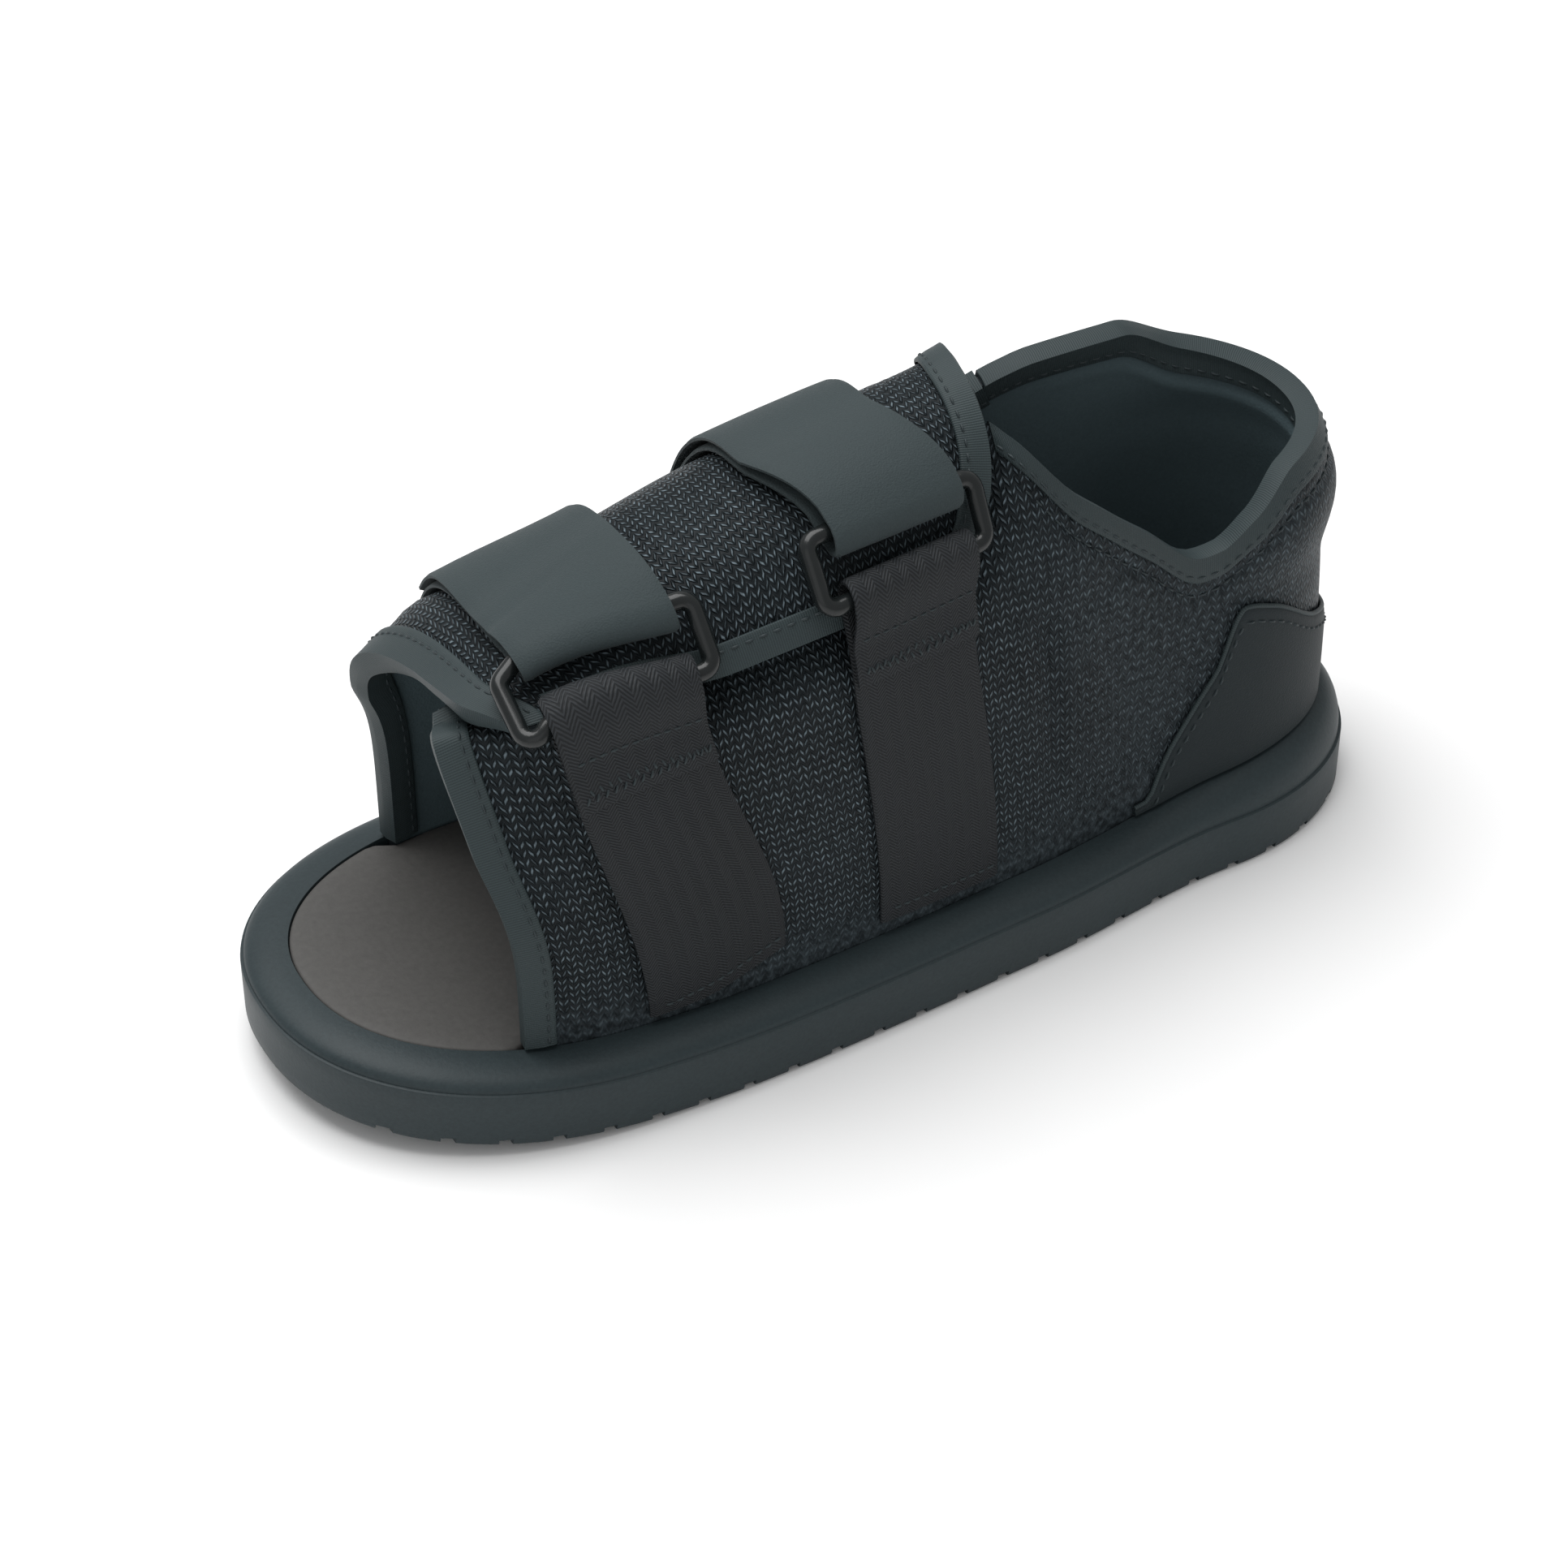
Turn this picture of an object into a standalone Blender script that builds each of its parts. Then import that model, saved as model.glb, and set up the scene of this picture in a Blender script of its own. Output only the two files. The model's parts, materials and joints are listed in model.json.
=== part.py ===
"""Post operative shoe: open toe, wrap-over mesh upper, two straps through rings, ribbed foam sole.

Metres. +X points to the toe, +Y to the ring side, which is the shoe's left, and +Z up.
The origin is on the floor under the middle of the sole.

The whole upper follows one form of the foot. A place on it is a course, which runs round the shoe
from the left front edge (-1) along the left side to the heel (0 to 1) and on to the right front
edge (2), and a rise, the angle from the bottom edge (0) up to the ridge (90 degrees). The right
side carries on over the ridge to the flap's edge on the left.
"""
import math
from functools import lru_cache

import bmesh
import bpy
from mathutils import Vector

# Sole
SOLE_LENGTH = 0.285
BALL_WIDTH = 0.1116
WAIST_WIDTH = 0.0974
HEEL_WIDTH = 0.0810
TOE_LENGTH = 0.0751
LEFT_TOE_FULLNESS = 2.24
RIGHT_TOE_FULLNESS = 2.08
HEEL_LENGTH = 0.0510
HEEL_FULLNESS = 2.08
TOE_CURVE = 0.0016
TOE_SPRING = 0.0070
CREASE_HEIGHT = 0.0150
RIM_HEIGHT = 0.0190
RIM_INSET = 0.0110
HEEL_RIM_HEIGHT = 0.0260
HEEL_RIM_INSET = 0.0080
DECK_HEIGHT = 0.0160
EDGE_BEVEL = 0.0012
GROOVE_PITCH = 0.0116
GROOVE_WIDTH = 0.0030
GROOVE_DEPTH = 0.0018

# Upper
INSTEP_HEIGHT = 0.1360
UPPER_WALL = 0.0030
COLLAR_PAD = 0.0050
COLLAR_TAPER = 0.0140
PAD_BULGE = 0.0040
PAD_HEIGHT = 0.0880
PAD_REACH = 0.0200
FLAP_SLACK = 0.0032
FLAP_STEP = 0.0140
FLAP_PROBES = 14
FRONT_PULL = 0.0150
HEEL_CENTRE = -0.0900
FRONT_EDGE = 0.0970
BINDING_WIDTH = 0.0060
BINDING_CLOTH = 0.0009
BINDING_GAP = 0.0006
COUNTER_CLOTH = 0.0012
COUNTER_TIP = 0.0020
INSOLE_CLEARANCE = 0.0006

# Straps and rings
STRAP_WIDTH = 0.0332
STRAP_THICKNESS = 0.0014
STRAP_LIFT = 0.0006
STRAP_BULGE = 0.0006
STRAP_SLACK = 0.0011
STRAP_RAMP = 0.0300
STRAP_RETURN = 0.0450
WEBBING_THICKNESS = 0.0013
WEBBING_RETURN = 0.0200
WEBBING_SLACK = 0.0007
WEBBING_LEVEL = 0.0080
WEBBING_SLOPE = 0.0240
RING_WIRE = 0.0042
RING_LENGTH = 0.0432
RING_HEIGHT = 0.0138
RING_CORNER = 0.0030

# Clearances
GAP = 0.0003
RIM_CLEARANCE = 0.0010
PLY_GAP = 0.0005

# The outline's half widths, with x as a share of the sole's length from its middle
OUTLINE = (
    dict(x=-0.500, width=HEEL_WIDTH),
    dict(x=-0.330, width=HEEL_WIDTH),
    dict(x=-0.120, width=WAIST_WIDTH),
    dict(x=0.220, width=BALL_WIDTH),
    dict(x=0.500, width=BALL_WIDTH),
)

# Sections of the foot's form. crest is a share of the instep height, lean the ridge's shift to the
# left as a share of half the ball width, and the last four say how square each shoulder is.
SECTIONS = (
    dict(x=-0.500, crest=1.100, lean=0.00, drop=0.00, left_side=2.4, left_top=2.8, right_side=2.4, right_top=2.8),
    dict(x=-0.300, crest=1.100, lean=0.00, drop=0.00, left_side=2.4, left_top=2.8, right_side=2.4, right_top=2.8),
    dict(x=-0.210, crest=1.080, lean=0.00, drop=0.00, left_side=2.4, left_top=2.7, right_side=2.5, right_top=2.8),
    dict(x=-0.110, crest=0.995, lean=-0.03, drop=0.00, left_side=2.2, left_top=2.2, right_side=2.4, right_top=2.4),
    dict(x=-0.018, crest=0.958, lean=-0.02, drop=0.00, left_side=2.6, left_top=2.6, right_side=2.5, right_top=2.6),
    dict(x=0.070, crest=0.930, lean=0.00, drop=0.00, left_side=3.0, left_top=3.0, right_side=2.4, right_top=2.5),
    dict(x=0.165, crest=0.875, lean=0.04, drop=0.00, left_side=2.8, left_top=2.8, right_side=2.4, right_top=2.5),
    dict(x=0.281, crest=0.785, lean=0.09, drop=0.00, left_side=4.0, left_top=4.2, right_side=2.4, right_top=4.6),
    dict(x=0.345, crest=0.735, lean=0.28, drop=0.19, left_side=2.6, left_top=5.0, right_side=7.0, right_top=7.0),
    dict(x=0.400, crest=0.710, lean=0.28, drop=0.19, left_side=2.6, left_top=5.0, right_side=7.0, right_top=7.0),
)

# Top edge of the left quarter and of the heel collar, then the far collar: x is the course
COLLAR_EDGE = (
    dict(x=-1.00, rise=80), dict(x=-0.85, rise=86), dict(x=-0.37, rise=88), dict(x=-0.31, rise=79), dict(x=-0.265, rise=63),
    dict(x=-0.20, rise=44), dict(x=-0.11, rise=31.5), dict(x=-0.03, rise=24.5), dict(x=0.08, rise=28),
    dict(x=0.22, rise=33), dict(x=0.50, rise=34.5), dict(x=0.78, rise=38), dict(x=1.00, rise=44),
    dict(x=1.12, rise=44), dict(x=1.20, rise=42),
)

# Edge of the wrap-over flap, as an angle from the left bottom edge
FLAP_EDGE = (
    dict(x=-0.250, angle=136), dict(x=-0.182, angle=138), dict(x=-0.158, angle=125), dict(x=-0.137, angle=110),
    dict(x=-0.122, angle=92), dict(x=-0.113, angle=78), dict(x=-0.104, angle=66), dict(x=-0.094, angle=58),
    dict(x=-0.070, angle=50), dict(x=-0.030, angle=47), dict(x=0.065, angle=46), dict(x=0.160, angle=49),
    dict(x=0.300, angle=62), dict(x=0.360, angle=66),
)

# Front edges: x is the angle as a share of the half turn from the left bottom edge to the right one
LEFT_FRONT = (
    dict(x=0.00, reach=0.330), dict(x=0.11, reach=0.347), dict(x=0.28, reach=0.354), dict(x=0.50, reach=0.343),
)
FLAP_FRONT = (
    dict(x=0.34, reach=0.305), dict(x=0.50, reach=0.334), dict(x=0.75, reach=0.347), dict(x=0.86, reach=0.344),
    dict(x=1.00, reach=0.325),
)

# Upper edge of the heel counter: x is the course, height a share of the instep height
COUNTER_EDGE = (
    dict(x=-0.125, height=0.135), dict(x=-0.055, height=0.28), dict(x=0.00, height=0.40), dict(x=0.07, height=0.52),
    dict(x=0.15, height=0.50), dict(x=0.30, height=0.41), dict(x=0.50, height=0.34), dict(x=0.70, height=0.41),
    dict(x=0.85, height=0.50), dict(x=0.93, height=0.52),
    dict(x=1.00, height=0.40), dict(x=1.055, height=0.28), dict(x=1.125, height=0.135),
)

# The two closures: ring, foot, far and ridge are x as shares of the sole's length, and toe_mid and
# heel_mid the angles that the middles of the ring's two side bars lie at
CLOSURES = (
    dict(name="front", ring=0.230, toe_mid=68, heel_mid=60, foot=0.172, foot_width=0.0345, far=0.225, ridge=0.232),
    dict(name="rear", ring=-0.014, toe_mid=58, heel_mid=57, foot=-0.036, foot_width=0.0325, far=0.026, ridge=0.012),
)

MATERIALS = {
    "foam": dict(color=(0.020, 0.025, 0.027), roughness=0.55),
    "liner": dict(color=(0.040, 0.036, 0.033), roughness=0.60),
    "mesh": dict(color=(0.008, 0.009, 0.010), roughness=0.80),
    "tape": dict(color=(0.028, 0.036, 0.038), roughness=0.60),
    "loop": dict(color=(0.022, 0.030, 0.032), roughness=0.85),
    "web": dict(color=(0.022, 0.021, 0.020), roughness=0.75),
    "plastic": dict(color=(0.010, 0.011, 0.011), roughness=0.25),
}

TOE_BREAK = 0.12
GIRTH_RADIUS = 0.8 * INSTEP_HEIGHT
COLLAR_START = -0.29
LAP_FRONT = -0.36
LAP_REAR = -0.25
COLLAR_TURN = 1.10
COLLAR_END = 1.18
FLAP_REAR_END = 1.36
FLAP_TAPE_END = 1.96
TAPE_BUTT = 0.015
UPPER_ROWS = 13
ROW_CROWD = 1.4
SAMPLES = 48
COUNTER_REACH = 0.12
COUNTER_STEPS = 26


def clear_scene():
    for item in list(bpy.data.objects):
        bpy.data.objects.remove(item, do_unlink=True)


def ease(t):
    """Smooth step from 0 to 1."""
    t = min(1.0, max(0.0, t))
    return t * t * (3 - 2 * t)


def blend(a, b, t):
    return a + (b - a) * t


def table(rows, column, x):
    """Smooth monotone curve through one column of a table, level past its ends."""
    xs = [row["x"] for row in rows]
    ys = [row[column] for row in rows]
    if x <= xs[0]:
        return ys[0]
    if x >= xs[-1]:
        return ys[-1]
    steps = [b - a for a, b in zip(xs, xs[1:])]
    slopes = [(b - a) / h for a, b, h in zip(ys, ys[1:], steps)]
    tangents = [0.0] * len(xs)
    for i in range(1, len(xs) - 1):
        if slopes[i - 1] * slopes[i] > 0:
            before = 2 * steps[i] + steps[i - 1]
            after = steps[i] + 2 * steps[i - 1]
            tangents[i] = (before + after) / (before / slopes[i - 1] + after / slopes[i])
    i = max(k for k in range(len(steps)) if xs[k] <= x)
    t = (x - xs[i]) / steps[i]
    start = (1 + 2 * t) * (1 - t) ** 2 * ys[i] + t * (1 - t) ** 2 * steps[i] * tangents[i]
    end = t * t * (3 - 2 * t) * ys[i + 1] + t * t * (t - 1) * steps[i] * tangents[i + 1]
    return start + end


def toe_share(x):
    """Square of the way from the ball to the toe tip, which bends the sole up and inward."""
    return max(0.0, (x / SOLE_LENGTH - TOE_BREAK) / (0.5 - TOE_BREAK)) ** 2


def spring(x):
    return TOE_SPRING * toe_share(x)


def sway(x):
    return -TOE_CURVE * toe_share(x)


def heel_share(x):
    return ease((-0.20 - x / SOLE_LENGTH) / 0.22)


def rim_inset(x):
    return blend(RIM_INSET, HEEL_RIM_INSET, heel_share(x))


def rim_height(x):
    return blend(RIM_HEIGHT, HEEL_RIM_HEIGHT, heel_share(x))


@lru_cache(maxsize=None)
def half_width(x, inset, toe_fullness=LEFT_TOE_FULLNESS):
    """Half width of the sole's outline, drawn in by inset."""
    half = SOLE_LENGTH / 2 - inset
    width = table(OUTLINE, "width", x / SOLE_LENGTH) / 2 - inset
    for length, fullness, reach in ((TOE_LENGTH, toe_fullness, x), (HEEL_LENGTH, HEEL_FULLNESS, -x)):
        t = (reach - (half - (length - inset))) / (length - inset)
        t = min(1.0, max(0.0, t))
        width *= (1 - t ** fullness) ** (1 / fullness)
    return width


@lru_cache(maxsize=None)
def section(x):
    share = x / SOLE_LENGTH
    return {key: table(SECTIONS, key, share) for key in SECTIONS[0] if key != "x"}


@lru_cache(maxsize=None)
def foot_half(x, toe_fullness=LEFT_TOE_FULLNESS):
    return half_width(x, rim_inset(x) + GAP, toe_fullness)


@lru_cache(maxsize=None)
def heel_reach(turn):
    """Distance from the heel centre to the upper's bottom edge, at a plan angle."""
    back = SOLE_LENGTH / 2 - HEEL_RIM_INSET - GAP
    low, high = 0.0, SOLE_LENGTH / 3
    for _ in range(40):
        middle = (low + high) / 2
        x = HEEL_CENTRE + middle * math.cos(turn)
        if x > -back and abs(middle * math.sin(turn)) < foot_half(x):
            low = middle
        else:
            high = middle
    return low


def base_height(x):
    return DECK_HEIGHT + GAP + spring(x)


@lru_cache(maxsize=None)
def side_point(x, angle):
    """Point of the form in the cross section at x; angle runs from the left base over to the right."""
    shape = section(x)
    ridge_y = sway(x) + shape["lean"] * BALL_WIDTH / 2
    across = abs(math.cos(angle))
    up = max(0.0, math.sin(angle))
    crest = shape["crest"] * INSTEP_HEIGHT - base_height(x)
    if angle < math.pi / 2:
        out = across ** (2 / shape["left_side"])
        y = ridge_y + (foot_half(x) + sway(x) - ridge_y) * out
        z = crest * up ** (2 / shape["left_top"])
    else:
        out = across ** (2 / shape["right_side"])
        y = ridge_y - (foot_half(x, RIGHT_TOE_FULLNESS) - sway(x) + ridge_y) * out
        z = crest * (1 - shape["drop"] * out) * up ** (2 / shape["right_top"])
    return Vector((x, y, base_height(x) + z))


@lru_cache(maxsize=None)
def heel_point(turn, angle):
    shape = section(HEEL_CENTRE)
    out = heel_reach(turn) * math.cos(angle) ** (2 / shape["left_side"])
    crest = shape["crest"] * INSTEP_HEIGHT - base_height(HEEL_CENTRE)
    z = base_height(HEEL_CENTRE) + crest * math.sin(angle) ** (2 / shape["left_top"])
    return Vector((HEEL_CENTRE + out * math.cos(turn), out * math.sin(turn), z))


def form_point(course, angle):
    """Point of the form; angle is measured from the left base on both straight sides."""
    if 0.0 < course < 1.0:
        return heel_point(math.radians(90 + 180 * course), angle)
    edge = LEFT_FRONT if course <= 0 else FLAP_FRONT
    front = table(edge, "reach", angle / math.pi) * SOLE_LENGTH
    share = -course if course <= 0 else course - 1
    return side_point(blend(HEEL_CENTRE, front, share), angle)


def own_angle(course, rise):
    """Turns a rise from the bottom edge into the form's angle."""
    return math.pi - rise if course >= 1.0 else rise


def form_normal(course, angle):
    step_u, step_v = 0.004, 0.01
    low = max(0.002, angle - step_v)
    high = angle + step_v
    if 0.0 < course < 1.0:
        high = min(high, math.pi / 2 - 0.001)
        u0, u1 = max(0.0005, course - step_u), min(0.9995, course + step_u)
    elif course <= 0:
        u0, u1 = course - step_u, min(0.0, course + step_u)
    else:
        u0, u1 = max(1.0, course - step_u), course + step_u
    along = form_point(u1, angle) - form_point(u0, angle)
    up = form_point(course, high) - form_point(course, low)
    if course >= 1.0:
        up = -up
    return along.cross(up).normalized()


def flap_angle(x):
    return math.radians(table(FLAP_EDGE, "angle", x / SOLE_LENGTH))


def flap_distance(x, angle):
    """How far a place of the left side lies from the flap, over the skin."""
    nearest = FLAP_STEP
    for k in range(FLAP_PROBES):
        shift = FLAP_STEP * k / FLAP_PROBES
        gap = max(0.0, flap_angle(x + shift) - angle) * INSTEP_HEIGHT / 2
        nearest = min(nearest, math.hypot(shift, gap))
    return nearest


def top_rise(course):
    """Rise of the upper's top edge: the collar, and on the right the flap's edge."""
    collar = math.radians(table(COLLAR_EDGE, "rise", course))
    if course <= 1.0:
        return collar
    x = blend(HEEL_CENTRE, FRONT_EDGE, course - 1)
    flap = math.pi - flap_angle(x)
    return blend(collar, flap, ease((course - COLLAR_TURN) / (COLLAR_END - COLLAR_TURN)))


def heel_weight(course):
    return ease((course + 0.10) / 0.35) * ease((1.10 - course) / 0.35)


def skin_offset(course, angle, point):
    """How far the outer skin stands off the form: the padded roll, and the tuck below the flap."""
    roll = ease(1 - abs(point.z - PAD_HEIGHT) / PAD_REACH)
    offset = PAD_BULGE * roll * heel_weight(course)
    if course <= 0:
        under = UPPER_WALL + GAP + BINDING_CLOTH + FLAP_SLACK
        offset -= under * ease(1 - flap_distance(point.x, angle) / FLAP_STEP)
    return offset


def wall_at(course, angle, point):
    """Wall thickness: thicker in the padded collar, and pinched again at its bound edge."""
    roll = ease((point.z - PAD_HEIGHT + PAD_REACH) / PAD_REACH)
    below = (top_rise(course) - own_angle(course, angle)) * GIRTH_RADIUS
    return UPPER_WALL + COLLAR_PAD * roll * heel_weight(course) * ease(below / COLLAR_TAPER)


def front_pull(course, point):
    """The left front edge is drawn in under the flap."""
    if course > 0:
        return Vector((0, 0, 0))
    near_front = ease((-course - 0.80) / 0.20)
    high = ease((point.z - 0.33 * INSTEP_HEIGHT) / (0.36 * INSTEP_HEIGHT))
    return Vector((0, -FRONT_PULL * near_front * high, 0))


@lru_cache(maxsize=None)
def skin_pair(course, angle):
    """Outer and inner points of the upper, and the outward normal."""
    point = form_point(course, angle)
    normal = form_normal(course, angle)
    offset = skin_offset(course, angle, point)
    moved = point + front_pull(course, point)
    outer = moved + normal * offset
    inner = moved + normal * (offset - wall_at(course, angle, point))
    if point.z < base_height(point.x) + UPPER_WALL:
        level = point.z
        outer.z = level
        inner.z = level
    return outer, inner, normal


@lru_cache(maxsize=None)
def rib(course):
    """One rib of the upper from its bottom to its top edge, evenly spaced."""
    top = top_rise(course)
    angles = [own_angle(course, top * (k / SAMPLES) ** 1.5) for k in range(SAMPLES + 1)]
    pairs = [skin_pair(course, angle) for angle in angles]
    lengths = [0.0]
    for a, b in zip(pairs, pairs[1:]):
        lengths.append(lengths[-1] + (b[0] - a[0]).length)
    return angles, pairs, lengths


def rib_share(course, length):
    """Sample below a distance along a rib, and the way from it to the next one."""
    lengths = rib(course)[2]
    length = min(max(length, 0.0), lengths[-1])
    k = max(i for i in range(len(lengths) - 1) if lengths[i] <= length)
    return k, (length - lengths[k]) / max(1e-9, lengths[k + 1] - lengths[k])


def rib_at(course, length):
    """Outer point, inner point and normal at a distance along a rib."""
    k, t = rib_share(course, length)
    pairs = rib(course)[1]
    return tuple(a.lerp(b, t) for a, b in zip(pairs[k], pairs[k + 1]))


def rib_angle(course, length):
    k, t = rib_share(course, length)
    angles = rib(course)[0]
    return blend(angles[k], angles[k + 1], t)


def rib_rows(course):
    """Distances of the shell's rows along a rib; the last two lie under the binding."""
    total = rib(course)[2][-1]
    body = UPPER_ROWS - 2
    lengths = [(total - BINDING_WIDTH) * (1 - (1 - j / body) ** ROW_CROWD) for j in range(body + 1)]
    return lengths + [total - BINDING_WIDTH / 2, total]


def length_to_height(course, height):
    """Distance along a rib at which its outer skin reaches a height."""
    _, pairs, lengths = rib(course)
    k = next(i for i, pair in enumerate(pairs) if pair[0].z >= height)
    below, above = pairs[k - 1][0].z, pairs[k][0].z
    return blend(lengths[k - 1], lengths[k], (height - below) / (above - below))


def material(name):
    finish = MATERIALS[name]
    result = bpy.data.materials.new(name)
    result.use_nodes = True
    shader = result.node_tree.nodes["Principled BSDF"]
    shader.inputs["Base Color"].default_value = (*finish["color"], 1.0)
    shader.inputs["Roughness"].default_value = finish["roughness"]
    shader.inputs["Metallic"].default_value = 0.0
    result.diffuse_color = (*finish["color"], 1.0)
    return result


def add_mesh(name, points, faces, finish, sharp=35):
    mesh = bpy.data.meshes.new(name)
    mesh.from_pydata([tuple(p) for p in points], [], faces)
    shape = bmesh.new()
    shape.from_mesh(mesh)
    bmesh.ops.triangulate(shape, faces=shape.faces)
    bmesh.ops.recalc_face_normals(shape, faces=shape.faces)
    shape.to_mesh(mesh)
    shape.free()
    mesh.shade_smooth()
    mesh.set_sharp_from_angle(angle=math.radians(sharp))
    item = bpy.data.objects.new(name, mesh)
    bpy.context.scene.collection.objects.link(item)
    item.data.materials.append(material(finish))
    return item


def sheet(name, outer, inner, finish, sharp=35):
    """Closed solid between two grids of points."""
    rows, columns = len(outer), len(outer[0])
    points = [p for grid in (outer, inner) for row in grid for p in row]

    def index(side, i, j):
        return side * rows * columns + i * columns + j

    faces = []
    for i in range(rows - 1):
        for j in range(columns - 1):
            a, b, c, d = ((i, j), (i + 1, j), (i + 1, j + 1), (i, j + 1))
            faces.append([index(0, *p) for p in (a, b, c, d)])
            faces.append([index(1, *p) for p in (d, c, b, a)])
    border = [(i, 0) for i in range(rows)]
    border += [(rows - 1, j) for j in range(1, columns)]
    border += [(i, columns - 1) for i in range(rows - 2, -1, -1)]
    border += [(0, j) for j in range(columns - 2, 0, -1)]
    for p, q in zip(border, border[1:] + border[:1]):
        faces.append([index(0, *q), index(0, *p), index(1, *p), index(1, *q)])
    return add_mesh(name, points, faces, finish, sharp)


def outline_ring(inset_at, height_at, count=36):
    """Left points from heel to toe, and the right points beside them."""
    left, right = [], []
    for k in range(count + 1):
        share = (1 - math.cos(math.pi * k / count)) / 2
        full = -SOLE_LENGTH / 2 + SOLE_LENGTH * share
        x = full
        for _ in range(4):
            x = full * (1 - 2 * inset_at(x) / SOLE_LENGTH)
        inset = inset_at(x)
        z = height_at(x) + spring(x)
        left.append(Vector((x, sway(x) + half_width(x, inset), z)))
        right.append(Vector((x, sway(x) - half_width(x, inset, RIGHT_TOE_FULLNESS), z)))
    return left, right


def stacked_solid(name, levels, finish):
    """Solid from a stack of outlines, each given as left and right points that share their ends."""
    rings = []
    for left, right in levels:
        rings.append(left + right[-2:0:-1])
    size = len(rings[0])
    count = len(levels[0][0])
    points = [p for ring in rings for p in ring]
    faces = []
    for k in range(len(rings) - 1):
        for i in range(size):
            a, b = k * size + i, k * size + (i + 1) % size
            faces.append([a, b, b + size, a + size])
    for start in (0, (len(rings) - 1) * size):
        for i in range(count - 1):
            left = [i, i + 1]
            right = [(size - i - 1) % size, (size - i) % size]
            face = list(dict.fromkeys([left[0], left[1], right[0], right[1]]))
            faces.append([start + v for v in face])
    return add_mesh(name, points, faces, finish)


def make_sole():
    """Foam sole: upright side to a crease, a rounded shoulder, and a recess for the insole."""
    def side(inset, height):
        return outline_ring(lambda x: inset, lambda x: height)

    def shoulder(turn):
        return outline_ring(
            lambda x: rim_inset(x) * (1 - math.cos(turn)),
            lambda x: blend(CREASE_HEIGHT, rim_height(x), math.sin(turn)))

    levels = [side(EDGE_BEVEL, 0.0), side(0.0, EDGE_BEVEL), side(0.0, CREASE_HEIGHT - EDGE_BEVEL / 2)]
    levels += [shoulder(math.radians(turn)) for turn in (12, 35, 60, 90)]
    levels.append(outline_ring(rim_inset, lambda x: DECK_HEIGHT))
    sole = stacked_solid("sole", levels, "foam")
    cutter = make_grooves()
    cut = sole.modifiers.new("grooves", "BOOLEAN")
    cut.operation = "DIFFERENCE"
    cut.solver = "EXACT"
    cut.object = cutter
    return sole


def make_grooves():
    """Cross grooves of the tread, as one cutter."""
    count = int((SOLE_LENGTH - GROOVE_PITCH) / GROOVE_PITCH)
    shape = bmesh.new()
    for k in range(count):
        x = (k - (count - 1) / 2) * GROOVE_PITCH
        box = bmesh.ops.create_cube(shape, size=1.0)["verts"]
        bottom = -0.01
        top = spring(x) + GROOVE_DEPTH
        bmesh.ops.scale(shape, verts=box, vec=(GROOVE_WIDTH, 2 * BALL_WIDTH, top - bottom))
        bmesh.ops.translate(shape, verts=box, vec=(x, 0, (top + bottom) / 2))
    mesh = bpy.data.meshes.new("groove_cutter")
    shape.to_mesh(mesh)
    shape.free()
    cutter = bpy.data.objects.new("groove_cutter", mesh)
    bpy.context.scene.collection.objects.link(cutter)
    cutter.hide_render = True
    cutter.display_type = "WIRE"
    return cutter


def make_insole():
    """Insole: it fills the rim at the open toe and lies inside the upper's wall further back."""
    toe_start = 0.365 * SOLE_LENGTH
    toe_end = 0.345 * SOLE_LENGTH

    def inset(x):
        inside = ease((toe_start - x) / (toe_start - toe_end))
        return rim_inset(x) + GAP + (UPPER_WALL + INSOLE_CLEARANCE) * inside

    levels = [outline_ring(inset, lambda x: DECK_HEIGHT + GAP), outline_ring(inset, lambda x: RIM_HEIGHT)]
    return stacked_solid("insole", levels, "liner")


def rear_edge_courses(count):
    """Courses that divide the flap's rear edge into even lengths."""
    fine = [blend(COLLAR_END, FLAP_REAR_END, k / 120) for k in range(121)]
    places = [form_point(course, own_angle(course, top_rise(course))) for course in fine]
    lengths = [0.0]
    for a, b in zip(places, places[1:]):
        lengths.append(lengths[-1] + (b - a).length)
    return [next(c for c, length in zip(fine, lengths) if length >= lengths[-1] * k / count) for k in range(count)]


@lru_cache(maxsize=None)
def courses():
    """Places of the upper's ribs, closer where the flap's rear edge laps over the left quarter."""
    near = BINDING_WIDTH / (FRONT_EDGE - HEEL_CENTRE)
    left = [-1, -1 + near / 2] + [blend(-1 + near, LAP_FRONT, k / 10) for k in range(10)]
    left += [blend(LAP_FRONT, LAP_REAR, k / 5) for k in range(5)] + [blend(LAP_REAR, 0, k / 5) for k in range(5)]
    heel = [k / 16 for k in range(16)]
    right = [1.0, 1.06, 1.12] + rear_edge_courses(17)
    right += [blend(FLAP_REAR_END, 2 - near, k / 12) for k in range(13)] + [2 - near / 2, 2.0]
    return left + heel + right


def make_upper():
    """Left quarter, heel and right quarter with its flap, as one shell."""
    outer, inner = [], []
    for course in courses():
        row = [rib_at(course, length) for length in rib_rows(course)]
        outer.append([p[0] for p in row])
        inner.append([p[1] for p in row])
    return sheet("upper", outer, inner, "mesh")


def binding_profile(outers, inners, normals, edge, lift):
    """Cross section of a tape folded over an edge: its outer and inner face."""
    middle = (outers[0] + inners[0]) / 2
    faces = []
    for off, crown in ((lift + BINDING_CLOTH, 1.5 * lift + BINDING_CLOTH), (lift, 1.5 * lift)):
        skin = [p + n * off for p, n in zip(outers, normals)]
        lining = [p - n * off for p, n in zip(inners, normals)]
        skin[0] = skin[0] + edge * (crown - lift / 2)
        lining[0] = lining[0] + edge * (crown - lift / 2)
        faces.append(skin[::-1] + [middle + edge * crown] + lining)
    return faces


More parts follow.
